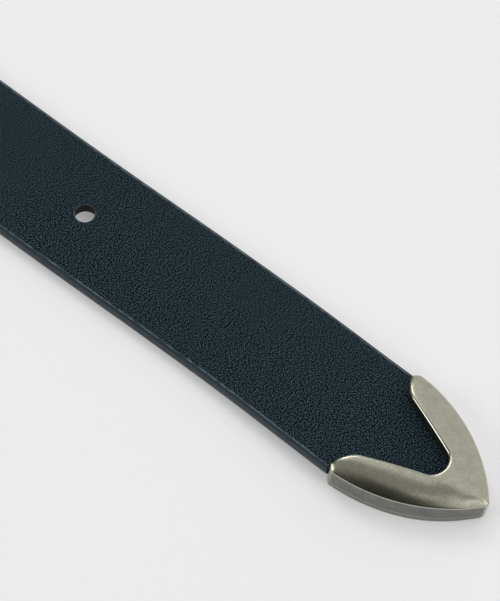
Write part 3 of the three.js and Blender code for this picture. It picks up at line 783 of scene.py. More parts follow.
def strap_parts(settings):
    """The strap: a rounded section carried along the path, with the leather round each opening put in.

    The section is flat on both sides, with quarter rounds at its four corners and edges that bulge a little,
    by a sine."""
    strap = settings.strap
    path = strap_path(settings)
    total = path["s"][-1]
    bar = bar_place(strap)
    holes = [length_at(path, -strap.first_hole - strap.hole_spacing * i) for i in range(strap.hole_count)]
    shoulder = length_at(path, settings.tip.back - GAP)
    bow_end = length_at(path, -strap.bow_length)
    slot_start = length_at(path, bar + strap.slot_length)
    slot_end = length_at(path, bar + strap.slot_length, upper=False)
    slot_reach = BLOCK_REACH / 2

    # The section's rows, closer together where the strap bends. Columns: length along the strap, and the
    # spacing from there to the next.
    stops = [(0.0, 1 * MM), (shoulder - SHOULDER_REACH, 0.05 * MM), (shoulder + SHOULDER_REACH, 2 * MM)]
    for middle in holes:
        stops += [(middle - BLOCK_REACH, 1.17 * MM),
                  (middle + BLOCK_REACH, 2.6 * MM if middle < bow_end else 6 * MM)]
    stops += [
        (length_at(path, bar + strap.step_start + strap.step_length), 3 * MM),
        (length_at(path, bar + strap.step_start), 3 * MM),
        (length_at(path, bar + strap.skive_length), 1.3 * MM),
        (slot_start - slot_reach, 0.8 * MM),
        (slot_end + slot_reach, 2 * MM),
        (total - FEATHER_LENGTH, 1.5 * MM),
        (total, 1 * MM),
    ]
    rows = rows_between(stops)
    half = along(path, "half", rows)
    thickness = along(path, "thickness", rows)
    corner = np.minimum(strap.edge_round, thickness * MOST_CORNER)
    flat = half - corner

    # The section: across the grain side, down the left edge, back across the flesh side and up the right
    # edge. across is in flat half widths, beyond and below are in corner radii. level is 0 down to the end
    # of the upper corner, 1 from the start of the lower one, and between them on the edge.
    columns = np.concatenate([[-1], -OUTER_COLUMNS[::-1], BLOCK_COLUMNS, OUTER_COLUMNS, [1]])
    out, down = quarter(CORNER_STEPS)
    edge_count = 2 * CORNER_STEPS + len(EDGE_PLACES)
    none, one = np.zeros(len(columns)), np.ones(CORNER_STEPS)
    bulge = 1 + EDGE_BULGE * np.sin(math.pi * EDGE_PLACES)
    across = np.concatenate([columns, np.ones(edge_count), columns[::-1]])
    beyond = np.concatenate([none, out[1:], bulge, out[:0:-1], none])
    below = np.concatenate([none, down[1:], np.ones(len(EDGE_PLACES)), down[:0:-1], none])
    level = np.concatenate([none, 0 * one, EDGE_PLACES, one, none + 1])
    edge = np.arange(len(columns), len(columns) + edge_count)
    order = np.concatenate([np.arange(len(across)), edge[::-1]])
    side = np.concatenate([np.ones(len(across)), -np.ones(edge_count)])
    across, beyond, below, level = across[order], beyond[order], below[order], level[order]
    y = side * (across * flat[:, None] + beyond * corner[:, None])
    fall = below * corner[:, None]
    edge_depth = mix(corner[:, None], thickness[:, None] - corner[:, None], level)
    depth = np.where(level == 0, fall, np.where(level == 1, thickness[:, None] - fall, edge_depth))
    s = np.broadcast_to(rows[:, None], y.shape)
    points = on_strap(path, s, y, depth, settings)
    marks = np.stack([s, y, -depth], axis=-1)

    # Faces, without those in the blocks round the openings, where the openings' own leather goes.
    faces = quads(len(rows), len(order), around=True)
    band, column = faces[:, 0] // len(order), faces[:, 0] % len(order)
    flesh_start = len(columns) + edge_count
    back = flesh_start + len(columns) - 1
    on_flesh = (column >= flesh_start) & (column < back)
    looks = np.select([column < len(columns) - 1, on_flesh], [GRAIN, FLESH], EDGE)
    first = len(OUTER_COLUMNS) + 1
    last = first + len(BLOCK_COLUMNS) - 1
    in_block = ((column >= first) & (column < last)) | ((column >= back - last) & (column < back - first))
    # The openings. Columns: middle, reach of the block, straight part, radius and flare.
    openings = [(middle, BLOCK_REACH, 0.0, strap.hole_diameter / 2, strap.hole_flare) for middle in holes]
    slot_radius, slot_half = strap.slot_width / 2, (slot_end - slot_start) / 2
    openings.append(
        ((slot_start + slot_end) / 2, slot_half + slot_reach, slot_half - slot_radius, slot_radius, 0.0))
    kept = np.ones(len(faces), dtype=bool)
    tubes = []
    for middle, reach, straight, radius, flare in openings:
        inside = np.abs(rows - middle) < reach + SLACK
        kept &= ~(in_block & inside[band] & inside[band + 1])
        tubes.append(
            opening_tube(path, rows[inside], flat[inside], middle, straight, radius, flare, settings))
    return [(points, faces[kept], looks[kept], marks), *tubes]


# The metal tip

# Steps round a limb's end, along a side and round the nose.
LIMB_STEPS, SIDE_STEPS, NOSE_STEPS = 10, 110, 14
# The nose is drawn back from this place on, over this length and by this power.
NOSE_START = 22 * MM
NOSE_LENGTH = 16 * MM
NOSE_POWER = 1.4


def outer_line(tip, offset, lower=None):
    """The metal tip's plan on one side, from the end of its limb to its nose, moved out by offset.

    A round at the limb's end, which gets sharper and leans back on its way down, an arc of the side
    radius about a centre beyond the middle line, and an arc round the nose. Going down also draws the
    nose back, by a power of the length from where that starts. lower is 0 at the side wall's top and 1
    at its foot, and follows from the draft where it isn't given."""
    centre = side_centre(tip)
    lower = max(offset / tip.draft, 0) if lower is None else lower
    corner = mix(tip.corner_radius + min(offset, 0), tip.corner_foot, lower)
    corner_x, corner_y = corner_centre(tip, corner, offset)
    end_x, end_y = limb_end(tip)
    top_y = corner_centre(tip, tip.corner_radius, 0.0)[1]
    first = math.pi - (1 - lower) * math.asin((end_y - top_y) / tip.corner_radius)
    start = math.atan2(corner_y + centre, corner_x)
    end = math.atan2(centre, nose_centre(tip))
    limb = arc((corner_x, corner_y), corner, first, start, LIMB_STEPS)
    limb[:, 0] -= tip.end_lean * lower
    limb[0] = end_x, end_y
    side = arc((0, -centre), tip.side_radius + offset, start, end, SIDE_STEPS)
    nose = arc((nose_centre(tip), 0), tip.nose_radius + offset, end, 0, NOSE_STEPS)
    line = np.concatenate([limb, side[1:], nose[1:]])
    near_nose = np.clip((line[:, 0] - NOSE_START) / NOSE_LENGTH, 0, 1)
    line[:, 0] -= tip.nose_lean * lower * near_nose ** NOSE_POWER
    return line


def corner_centre(tip, radius, offset):
    """The centre of a limb end's round: it touches the tip's back line and, from inside, the side arc moved
    out by offset."""
    x = tip.back + radius
    return x, math.sqrt((tip.side_radius + offset - radius) ** 2 - x ** 2) - side_centre(tip)


def shoulder_centre(tip):
    """The centre of the opening's round shoulder, which touches the back line and the opening's side."""
    tilt = math.atan(tip.opening_slope)
    x = tip.back + tip.shoulder_radius
    touch_x = x - tip.shoulder_radius * math.sin(tilt)
    touch_y = tip.opening_half - tip.opening_slope * touch_x
    return x, touch_y + tip.shoulder_radius * math.cos(tilt)


def limb_end(tip):
    """The upright edge in which each limb ends: there the opening's shoulder meets the limb's outer
    round. Both touch the back line, so the edge divides the way between the two places by the roots of
    their radii."""
    outer = corner_centre(tip, tip.corner_radius, 0.0)[1]
    share = math.sqrt(tip.shoulder_radius / tip.corner_radius)
    y = (shoulder_centre(tip)[1] + share * outer) / (1 + share)
    return tip.back + tip.corner_radius - math.sqrt(tip.corner_radius ** 2 - (y - outer) ** 2), y


# Steps in each stretch of the opening's fine line, and its least first step from the limb's end.
FINE_STEPS = 400
FIRST_STEP = 0.02 * MM


def opening_line(tip):
    """The V opening's edge on one side, from the limb's end to the middle line: a round shoulder, a straight
    side and a round nose, each touching the next."""
    tilt = math.atan(tip.opening_slope)
    nose_x = (tip.opening_half - tip.opening_nose / math.cos(tilt)) / tip.opening_slope
    shoulder = arc(shoulder_centre(tip), tip.shoulder_radius, math.pi, 1.5 * math.pi - tilt, FINE_STEPS)
    nose = arc((nose_x, 0), tip.opening_nose, math.pi / 2 - tilt, 0, FINE_STEPS)
    straight = mix(shoulder[-1], nose[0], np.linspace(0, 1, FINE_STEPS)[1:, None])
    line = np.concatenate([shoulder, straight, nose[1:]])
    end = limb_end(tip)
    return np.concatenate([[end], line[line[:, 1] < end[1] - FIRST_STEP]])


def angle_of(points, tip):
    """Each point's angle about the side arc's centre, from straight across the belt towards the nose."""
    return np.arctan2(points[:, 0], points[:, 1] + side_centre(tip))


def at_angle(line, angles, tip):
    """Points of a line at these angles about the side arc's centre."""
    return np.stack([np.interp(angles, angle_of(line, tip), column) for column in line.T], axis=-1)


def dome_height(tip, distance):
    """Rise of the domed face: a circle's arc that starts at the dome angle and is level after its run."""
    radius = tip.dome_run / math.sin(tip.dome_angle)
    left = np.maximum(tip.dome_run - distance, 0)
    return np.sqrt(radius ** 2 - left ** 2) - radius * math.cos(tip.dome_angle)


# How softly the two sides' domes meet on the middle line, by the opening and at the nose, and where along
# the belt the one turns into the other.
SOFT_MEETING = 6 * MM
SHARP_MEETING = 0.35 * MM
MEETING_START = 31 * MM
MEETING_LENGTH = 5.5 * MM


def distance_in(tip, x, y):
    """Distance in from the nearer side arc. Near the middle line it is a smooth minimum of both sides'
    distances, sharp at the nose and soft further in."""
    centre = side_centre(tip)
    near = tip.side_radius - np.hypot(x, y + centre)
    far = tip.side_radius - np.hypot(x, y - centre)
    soft = mix(SOFT_MEETING, SHARP_MEETING, smooth((x - MEETING_START) / MEETING_LENGTH))
    h = np.clip(0.5 + 0.5 * (far - near) / soft, 0, 1)
    return mix(far, near, h) - soft * h * (1 - h)


# The side wall's foot and its casting step. Columns: out from the plan and height, in millimetres.
SKIRT_FOOT = ((0.2, 0.0), (0.4, 0.08), (0.5, 0.3), (0.49, 0.7))
SKIRT_STEP = (
    (0.475, 1.2), (0.465, 1.66), (0.45, 1.76), (0.40, 1.84), (0.365, 1.92), (0.335, 2.3), (0.25, 3.4),
    (0.165, 4.5), (0.09, 5.62))
# The opening's edge, first a dull roll and then a polished bevel, as shares of its width. Columns: towards
# the opening, down.
LIP_ROLL = ((0.1, 0.004), (0.25, 0.02), (0.45, 0.058), (0.6, 0.095), (0.69, 0.125))
LIP_BEVEL = ((0.74, 0.15), (0.80, 0.19), (0.86, 0.245), (0.92, 0.32), (0.97, 0.41), (1.0, 0.52))
# The angle about the side arc's centre from which the opening's points are spread, so that they reach the
# middle line with the outer line's.
SPREAD_ANGLE = 0.3
# The limb's width from which on its bevel and crease have their full size.
FULL_WIDTH = 1.6 * MM
# How far inside and outside the side wall's top the plan is taken again, to find which way the crease runs.
PLAN_STEP = 0.5 * MM
# How far the crease reaches to both sides, in its own radii, and its steps.
CREASE_REACH = 1.2
CREASE_STEPS = 8
# Shares of the way from the crease to the bevel, close together at both ends. The crease's own height fades
# out along them by a power.
FACE_SHARES = (0, 0.02, *np.linspace(0.06, 0.94, 23), 0.98, 1)
FADE_POWER = 4
# The least share of the dome's run, and the power by which a narrow limb's dome is lower.
LEAST_DOME = 0.02
PILLOW_POWER = 1.2
# The wear on the upright edges: points from the limb's end to the middle of its round, and points back
# from the nose, first where the wear starts and then over which it grows.
LIMB_WEAR = 5
NOSE_WEAR = (13, 8)
# The flat facet at the nose, rubbed a little: its start, the length over which that shows, and how much.
FACET_START = 35.6 * MM
FACET_FADE = 1.2 * MM
FACET_RUB = 0.25


def tip_parts(settings):
    """The metal tip's far half, mirrored for the near half: one profile carried from the limb's end round
    to the nose.

    The profile runs on the floor from the middle line out to the cavity's wall, up it, in under the
    roof to the opening's edge, up that wall, over the polished bevel and the roll, down the dome, over
    the crease and down the side wall with its casting step, and in along the bottom. Each row of it
    says how much it is rubbed and how much patina it keeps. From the crease down the side wall, that
    darkening is partly patina and partly painted shade."""
    tip = settings.tip
    floor = outer_line(tip, 0.0)
    angles = angle_of(floor, tip)
    first, last = angles[0], angles[-1]
    share_in = (angles - first) / (last - first)

    # The opening's edge, at the same angles as the outer line up to the spread angle. From there on the
    # angles grow by a quadratic curve of the same slope at its start, which ends on the middle line.
    inner = opening_line(tip)
    inner_last = angle_of(inner[-1:], tip)[0]
    slope = (last - SPREAD_ANGLE) / (inner_last - SPREAD_ANGLE)
    t = np.clip((angles - SPREAD_ANGLE) / (last - SPREAD_ANGLE), 0, 1)
    spread = SPREAD_ANGLE + (inner_last - SPREAD_ANGLE) * (slope * t - (slope - 1) * t * t)
    lip = at_angle(inner, np.where(angles < SPREAD_ANGLE, angles, spread), tip)
    lip[0] = floor[0]

    # The cavity's side is an arc about the side arc's own centre, cut off blunt before the nose.
    cavity_radius = tip.side_radius - tip.wall
    cavity_angle = mix(first, math.pi / 2 - math.asin(side_centre(tip) / cavity_radius), share_in)
    cavity_y = cavity_radius * np.cos(cavity_angle) - side_centre(tip)
    cavity = np.stack([cavity_radius * np.sin(cavity_angle), cavity_y], axis=-1)
    cavity[0] = floor[0]
    cavity[-1, 1] = 0
    cavity[:, 0] = np.minimum(cavity[:, 0], tip.cavity_end)
    middle = np.stack([mix(tip.back, cavity[-1, 0], share_in), 0 * angles], axis=-1)

    away = lip - floor
    width = np.hypot(*away.T)
    away = away / np.maximum(width, NOTHING)[:, None]
    ease = np.minimum(1, width / FULL_WIDTH)
    bevel = tip.lip_bevel * ease
    crease = tip.crease_round * ease

    def level(places, z):
        return np.concatenate([places, np.broadcast_to(z, len(places))[:, None]], axis=1)

    # The domed face from the crease to the bevel. Where the limb is narrower than the dome's run the whole
    # dome gets smaller with it, like a pillow's end.
    reach = (CREASE_REACH * crease / PLAN_STEP)[:, None]
    start = mix(floor, outer_line(tip, -PLAN_STEP), reach)
    end = lip - away * bevel[:, None]
    base = distance_in(tip, floor[:, 0], floor[:, 1])
    size = np.clip(distance_in(tip, *lip.T) / tip.dome_run, LEAST_DOME, 1)
    face = []
    for w in FACE_SHARES:
        place = mix(start, end, w)
        depth = np.maximum(distance_in(tip, *place.T) - base * (1 - w) ** FADE_POWER, 0)
        face.append(level(place, tip.side_height + size ** PILLOW_POWER * dome_height(tip, depth / size)))
    high = face[-1][:, 2]
    lip_rows = [level(end + away * (bevel * over)[:, None], high - bevel * down)
                for over, down in (*LIP_ROLL, *LIP_BEVEL)]
    bevel_rows, roll_rows = lip_rows[:len(LIP_ROLL) - 1:-1], lip_rows[len(LIP_ROLL) - 1::-1]

    # The crease: a quadratic curve from the top of the side wall to the dome's first line.
    lean = reach * tip.draft / tip.side_height
    foot = level(mix(floor, outer_line(tip, PLAN_STEP), lean), tip.side_height - CREASE_REACH * crease)
    corner = level(floor, tip.side_height)
    curve = [foot * (1 - u) ** 2 + corner * 2 * u * (1 - u) + face[0] * u ** 2
             for u in np.linspace(0, 1, CREASE_STEPS + 1)]

    step = np.array(SKIRT_STEP) * MM
    wall_foot = step[-1, 1]
    inner_top = lip_rows[-1][:, 2]
    column = np.arange(len(floor))
    wear_start, wear_length = NOSE_WEAR
    upright = np.clip(1 - np.abs(column - LIMB_WEAR) / LIMB_WEAR, 0, 1) + smooth(
        (column - len(floor) + wear_start) / wear_length)
    profile = []

    def add(rows, rub, patina, edge_rub=0.0):
        profile.extend((row, rub + edge_rub * upright, patina) for row in rows)

    def skirt(stations):
        return [level(outer_line(tip, out), z) for out, z in stations]

    add([level(mix(middle, cavity, u), tip.floor) for u in (0.0, 0.5, 0.9)], 0.0, 1.0)
    add([level(cavity, z) for _, z in step], 0.0, 1.0)
    add([level(mix(cavity, lip, u), wall_foot) for u in (0.5, 1.0)], 0.0, 1.0)
    add([level(lip, mix(wall_foot, inner_top, u)) for u in (0.5, 0.85)], 0.0, 0.9)
    add(bevel_rows, 0.9, 0.0)
    add(roll_rows, 0.0, 0.35)
    for row in face[::-1]:
        add([row], FACET_RUB * smooth((row[:, 0] - FACET_START) / FACET_FADE), 0.0)
    add(curve[-2:1:-1], 0.45, 0.0)
    # From the crease down the side wall, the patina is partly painted shade: the darker metal stands in for
    # the shadowed floor that the wall reflects.
    add(curve[1::-1], 0.1, 0.6, 0.5)
    wall_side = level(outer_line(tip, step[-1, 0]), wall_foot)
    add([mix(curve[0], wall_side, u) for u in (0.05, 0.5)], 0.0, 0.95, 0.6)
    add(skirt(step[:3:-1]), 0.0, 0.95, 0.6)
    add(skirt(step[3:1:-1]), 0.25, 0.6, 0.4)
    add(skirt(step[1::-1]), 0.0, 0.75, 0.6)
    add([level(outer_line(tip, o * MM, 1.0), z * MM) for o, z in SKIRT_FOOT[::-1]], 0.0, 0.75, 0.6)
    bottom = outer_line(tip, SKIRT_FOOT[0][0] * MM, 1.0)
    add([level(mix(bottom, middle, u), 0.0) for u in (0.5, 1.0)], 0.0, 1.0)
    far = np.stack([row for row, _, _ in profile])
    rubs = np.stack([np.broadcast_to(rub, len(floor)) for _, rub, _ in profile])
    patina_and_side_shade = np.broadcast_to(np.array([patina for _, _, patina in profile])[:, None], rubs.shape)
    return both_sides(far, np.stack([rubs, patina_and_side_shade, 0 * rubs], axis=-1), settings)


def both_sides(far, marks, settings):
    """Parts for a cast piece: the grid of its far half and the same turned over for the near half."""
    faces = quads(far.shape[0], far.shape[1])
    near = far * np.array([1, -1, 1])
    return [(world(far, settings), faces, 0, marks), (world(near, settings), faces[:, ::-1], 0, marks)]


# The keeper

# Steps round each lower corner, and points of the floor, of each upright side and of the crown.
KEEPER_CORNER = 12
KEEPER_FLOOR = 25
KEEPER_SIDE = 8
KEEPER_CROWN = 91
# The round of the keeper's cut edges, its steps, and the columns between two rounds.
KEEPER_ROUND = 0.55 * MM
KEEPER_ROUND_STEPS = 5
KEEPER_COLUMNS = 9


def keeper_line(settings, wall):
    """The keeper's outline across the belt, moved out by wall: a flat floor, round lower corners, upright
    sides, and a crown that follows a superellipse. It ends where it starts."""
    strap, buckle = settings.strap, settings.buckle
    half = strap.width / 2 + buckle.keeper_clearance + wall
    radius = buckle.keeper_corner + wall
    corner_y, corner_z = half - radius, buckle.keeper_wall - wall + radius
    left = arc((-corner_y, corner_z), radius, math.pi, 1.5 * math.pi, KEEPER_CORNER)
    right = arc((corner_y, corner_z), radius, 1.5 * math.pi, 2 * math.pi, KEEPER_CORNER)
    across = np.linspace(0, 1, KEEPER_FLOOR)[1:-1, None]
    upright = np.linspace(0, 1, KEEPER_SIDE)[1:-1, None]
    turn = np.linspace(0, math.pi, KEEPER_CROWN)
    power = 2 / buckle.keeper_roundness
    crown_y = half * np.sign(np.cos(turn)) * np.abs(np.cos(turn)) ** power
    crown_z = buckle.keeper_side + (buckle.keeper_crown + wall) * np.sin(turn).clip(0) ** power
    crown = np.stack([crown_y, crown_z], axis=-1)
    return np.concatenate([
        left, mix(left[-1:], right[:1], across), right, mix(right[-1:], crown[:1], upright), crown,
        mix(crown[-1:], left[:1], upright), left[:1]])


def keeper_parts(settings):
    """The keeper: a strip of leather with rounded and painted edges, its section carried round the outline.

    A point of the section at some depth lies as far between the outer and the inner outline."""
    buckle = settings.buckle
    wall, width = buckle.keeper_wall, buckle.keeper_width
    outer, inner = keeper_line(settings, wall), keeper_line(settings, 0.0)
    out, down = quarter(KEEPER_ROUND_STEPS, KEEPER_ROUND)
    middle = np.linspace(KEEPER_ROUND, width - KEEPER_ROUND, KEEPER_COLUMNS)
    front, back = width - KEEPER_ROUND, KEEPER_ROUND
    along_x = np.concatenate([
        middle, front + out[1:], [width], front + out[:0:-1], middle[::-1], back - out[1:], [0.0],
        back - out[:0:-1]])
    depth = np.concatenate([
        0 * middle, down[1:], [wall / 2], wall - down[:0:-1], 0 * middle + wall, wall - down[1:], [wall / 2],
        down[:0:-1]])
    ring = mix(outer[:, None, :], inner[:, None, :], (depth / wall)[None, :, None])
    start = bar_place(settings.strap) + buckle.keeper_distance
    x = np.broadcast_to(start + along_x, ring.shape[:2])
    points = np.concatenate([x[..., None], ring], axis=-1)
    hide = (run_of(outer)[:, None], along_x, -depth)
    marks = np.stack([np.broadcast_to(values, x.shape) for values in hide], axis=-1)
    faces = quads(len(outer), len(along_x), around=True)
    column = faces[:, 0] % len(along_x)
    flesh_start = KEEPER_COLUMNS + 2 * KEEPER_ROUND_STEPS
    flesh = (column >= flesh_start) & (column < flesh_start + KEEPER_COLUMNS)
    looks = np.select([column < KEEPER_COLUMNS - 1, flesh], [GRAIN, FLESH], EDGE)
    return [(world(points, settings), faces, looks, marks)]


# The buckle

# The frame's corners: the inner radius at the heel, and steps round a heel corner and a front corner. Points
# along a rail, from the rail's middle to its side, and across the front.
INNER_HEEL = 1.5 * MM
HEEL_STEPS = 12
FRONT_STEPS = 20
RAIL_POINTS = 31
END_POINTS = 13
# The round between the frame's sides and its underside, how far in and up the middle of that round lies as a
# share of its radius, and steps of the top's rounds.
FRAME_FOOT = 0.5 * MM
FOOT_MIDDLE = 0.3
FRAME_STEPS = 8


def frame_line(settings, inner):
    """One side of the buckle frame's plan, from the middle of a rail's end, round its heel corner and the
    front corner, to the belt's middle line. Both lines have the same number of points in each stretch."""
    buckle = settings.buckle
    bar = bar_place(settings.strap)
    heel, front = bar + buckle.heel, bar - buckle.reach
    half, heel_radius, front_radius = buckle.frame_width / 2, buckle.heel_radius, buckle.front_radius
    middle = (buckle.frame_width + buckle.inner_width) / 4
    side = 1
    if inner:
        half, heel_radius, front_radius = buckle.inner_width / 2, INNER_HEEL, buckle.inner_radius
        front += buckle.rail
        side = -1
    heel_centre = (heel - heel_radius, half - side * heel_radius)
    heel_corner = arc(heel_centre, heel_radius, 0, side * math.pi / 2, HEEL_STEPS)
    front_centre = (front + front_radius, half - front_radius)
    front_corner = arc(front_centre, front_radius, math.pi / 2, math.pi, FRONT_STEPS)
    stretch = np.linspace(0, 1, END_POINTS)[:, None]
    rail = np.linspace(0, 1, RAIL_POINTS)[1:-1, None]
    return np.concatenate([
        mix(np.array([[heel, middle]]), heel_corner[:1], stretch[:-1:2]), heel_corner,
        mix(heel_corner[-1:], front_corner[:1], rail), front_corner,
        mix(front_corner[-1:], np.array([[front, 0.0]]), stretch[1:])])


def frame_parts(settings):
    """The buckle's frame: a cast section carried along half of the U, mirrored for the other half.

    The section has an upright outer side, a quarter ellipse up to a flat top, a quarter round down to the
    inner side, and a flat bottom. It is drawn in at each rail's end, where its top comes down on a quarter
    circle. Each row says how much it is rubbed and how much patina it keeps."""
    buckle = settings.buckle
    outer, inner = frame_line(settings, False), frame_line(settings, True)
    width = np.hypot(*(inner - outer).T)
    ease = np.minimum(1, width / buckle.rail)
    lift = np.sqrt(1 - (1 - ease) ** 2)
    away = (inner - outer) / np.maximum(width, NOTHING)[:, None]
    side, top = buckle.side_height, buckle.frame_height
    low = FOOT_MIDDLE * FRAME_FOOT

    def row(inset, z, from_inner=False):
        inwards = away * (inset * ease)[:, None]
        place = inner - inwards if from_inner else outer + inwards
        height = np.where(z > side, side + (z - side) * lift, z)
        return np.concatenate([place, height[:, None]], axis=1)

    rounds = list(zip(*quarter(FRAME_STEPS)))
    rows = [(row(FRAME_FOOT, 0.0), 0.0, 1.0), (row(low, low), 0.1, 0.6), (row(0.0, FRAME_FOOT), 0.2, 0.6)]
    rows += [(row(0.0, mix(FRAME_FOOT, side, u)), 0.0, 0.7) for u in (0.3, 0.7, 1.0)]
    rows += [(row(buckle.top_round * down, mix(side, top, out)), 0.1, 0.15) for out, down in rounds[1:]]
    rows += [(row(buckle.inner_round * (1 - out), top - buckle.inner_round * down, True), 0.25, 0.1)
             for out, down in rounds]
    rows += [(row(0.0, mix(FRAME_FOOT, side, u), True), 0.0, 0.8) for u in (1.0, 0.7, 0.3, 0.0)]
    rows += [(row(low, low, True), 0.1, 0.6), (row(FRAME_FOOT, 0.0, True), 0.0, 1.0)]
    rows.append(rows[0])
    left = np.stack([places for places, _, _ in rows])
    marks = np.array([(rub, patina, 0) for _, rub, patina in rows])[:, None, :]
    return both_sides(left, np.broadcast_to(marks, left.shape), settings)


# How far the bar is let into each rail, how long its rounded ends are, points in one and between both, and
# its wear.
BAR_LET_IN = 3 * MM
BAR_END = 1 * MM
BAR_POINTS = (6, 40)
BAR_WEAR = (0.15, 0.5, 0.0)


def bar_parts(settings):
    """The steel bar across the frame: a straight round bar with rounded ends, let into both rails."""
    buckle = settings.buckle
    half = buckle.inner_width / 2 + BAR_LET_IN
    shoulder = half - BAR_END
    in_end, between = BAR_POINTS
    y = np.concatenate([
        np.linspace(-half, -shoulder, in_end)[:-1], np.linspace(-shoulder, shoulder, between),
        np.linspace(shoulder, half, in_end)[1:]])
    centres = np.stack([0 * y + bar_place(settings.strap), y, 0 * y + buckle.bar_height], axis=-1)
    size = buckle.bar_radius * drawn_in(y, BAR_END)
    sides = np.broadcast_to([1.0, 0.0, 0.0], centres.shape)
    ups = np.broadcast_to([0.0, 0.0, 1.0], centres.shape)
    points, faces = swept(centres, sides, ups, size, size)
    return [(world(points, settings), faces, 0, np.broadcast_to(BAR_WEAR, points.shape))]


# The prong: its play on the bar, the angle of its eye's open end, steps of the eye and points of the prong,
# how far it ends before the frame's front, how deep it is let into the frame's top, and how much it droops
# over the frame.
PRONG_PLAY = 0.1 * MM
EYE_START = math.radians(-190)
EYE_STEPS = 70
PRONG_POINTS = 90
PRONG_SHORT = 0.6 * MM
PRONG_SEAT = 0.3 * MM
PRONG_DROOP = 0.35 * MM
# How long its rounded ends are, the length over which it gets thicker behind the eye and thinner at its
# point, the length over which it gets narrower, and what is left of its thickness and width there.
PRONG_END = 1.3 * MM
PRONG_TAPER = 9 * MM
PRONG_NARROWING = 7 * MM
POINT_THICKNESS = 0.72
POINT_WIDTH = 0.8
# The power of its section's superellipse, the section's points and the wear.
PRONG_POWER = 3.6
PRONG_COLUMNS = 32
PRONG_WEAR = (0.2, 0.3, 0.0)


def prong_parts(settings):
    """The prong: a strip of metal bent most of the way round the bar, then carried forward in a smooth
    rise to the frame's front, where it rests and droops a little by a square. It gets thicker as it
    leaves the bar."""
    buckle = settings.buckle
    eye_wall = buckle.eye_radius - buckle.bar_radius - PRONG_PLAY
    eye_line = buckle.eye_radius - eye_wall / 2
    eye = arc((0.0, 0.0), eye_line, EYE_START, math.pi / 2, EYE_STEPS)
    forward = np.linspace(0, buckle.reach - PRONG_SHORT, PRONG_POINTS)[1:]
    rest = buckle.reach - buckle.rail
    rest_height = buckle.frame_height - PRONG_SEAT + buckle.prong_thickness / 2 - buckle.bar_height
    past = np.clip((forward - rest) / buckle.rail, 0, 1)
    rise = mix(eye_line, rest_height, smooth(forward / rest)) - PRONG_DROOP * past ** 2
    line = np.concatenate([eye, np.stack([-forward, rise], axis=-1)])
    run = run_of(line)
    direction = np.gradient(line, run, axis=0)
    direction = direction / np.hypot(*direction.T)[:, None]
    ends = drawn_in(run, PRONG_END)
    thickness = mix(eye_wall, buckle.prong_thickness, smooth((run - run[len(eye) - 1]) / PRONG_TAPER))
    thickness = thickness * mix(1.0, POINT_THICKNESS, smooth((run - run[-1] + PRONG_TAPER) / PRONG_TAPER))
    narrowing = smooth((run - run[-1] + PRONG_NARROWING) / PRONG_NARROWING)
    width = buckle.prong_width * mix(1.0, POINT_WIDTH, narrowing)
    bar = bar_place(settings.strap)
    centres = np.stack([bar + line[:, 0], 0 * run, buckle.bar_height + line[:, 1]], axis=-1)
    sides = np.broadcast_to([0.0, 1.0, 0.0], centres.shape)
    ups = np.stack([-direction[:, 1], 0 * run, direction[:, 0]], axis=-1)
    points, faces = swept(
        centres, sides, ups, width / 2 * ends, thickness / 2 * ends, PRONG_POWER, PRONG_COLUMNS)
    return [(world(points, settings), faces, 0, np.broadcast_to(PRONG_WEAR, points.shape))]


# The seams

# Places of the rows, from the bar.
SEAM_PLACES = (24 * MM, 52 * MM, 66 * MM)
# A stitch's points along and round it, the half of its length as a share of the pitch, and its middle's
# height over the leather and the depth to which it falls from there at its ends, as shares of the
# thread's radius.
STITCH_POINTS = (9, 8)
STITCH_REACH = 0.4
STITCH_HEIGHT = 0.45
STITCH_FALL = 0.9


def seam_parts(settings):
    """Rows of stitches across the turned back end, above and below. Each stitch is a spindle: a circle whose
    radius follows a half circle along it, on a line that dips into the leather at both ends by a square."""
    strap, buckle = settings.strap, settings.buckle
    path = strap_path(settings)
    count = int(buckle.seam_width / buckle.seam_pitch) + 1
    places = (np.arange(count) - (count - 1) / 2) * buckle.seam_pitch
    points_along, points_round = STITCH_POINTS
    along_stitch = np.sin(np.linspace(-math.pi / 2, math.pi / 2, points_along))
    turn = np.linspace(0, 2 * math.pi, points_round, endpoint=False)
    radius = buckle.thread_radius * np.sqrt(np.maximum(1 - along_stitch ** 2, 0))
    arch = buckle.thread_radius * (STITCH_HEIGHT - STITCH_FALL * along_stitch ** 2)
    aside = radius[:, None] * np.cos(turn)
    height = arch[:, None] + radius[:, None] * np.sin(turn)
    reach = STITCH_REACH * buckle.seam_pitch * np.broadcast_to(along_stitch[:, None], aside.shape)
    faces = quads(points_along, points_round, around=True)
    all_faces = (faces[None] + (np.arange(count) * aside.size)[:, None, None]).reshape(-1, 4)
    parts = []
    for place in SEAM_PLACES:
        for upper in (True, False):
            middle = length_at(path, bar_place(strap) + place, upper=upper)
            s = np.broadcast_to(middle + aside, (count, *aside.shape))
            y = places[:, None, None] + reach
            points = on_strap(path, s, y, np.broadcast_to(-height, s.shape), settings)
            parts.append((points, all_faces, 0, np.zeros_like(points)))
    return parts


# Operators, one for each piece

# Edges steeper than these stay sharp, on the strap and on the keeper and metal pieces.
SHARP_STRAP = math.radians(40)
SHARP_EDGE = math.radians(50)


def settings_and_looks(context, *makers):
    """The belt's settings, kept in the scene, and the materials that these functions make."""
    settings = context.scene.western_belt
    return settings, [material_of(maker, settings.colours) for maker in makers]


class BELT_OT_strap(bpy.types.Operator):
    """Builds the leather strap with its punched holes, tongue and turned back end"""

    bl_idname = "belt.strap"
    bl_label = "Leather strap"

    def execute(self, context):
        settings, looks = settings_and_looks(context, *STRAP_LOOKS)
        make_piece("leather_strap", strap_parts(settings), looks, ["strap"], fill=True,
                   smooth_angle=SHARP_STRAP, mark="flat")
        return {"FINISHED"}


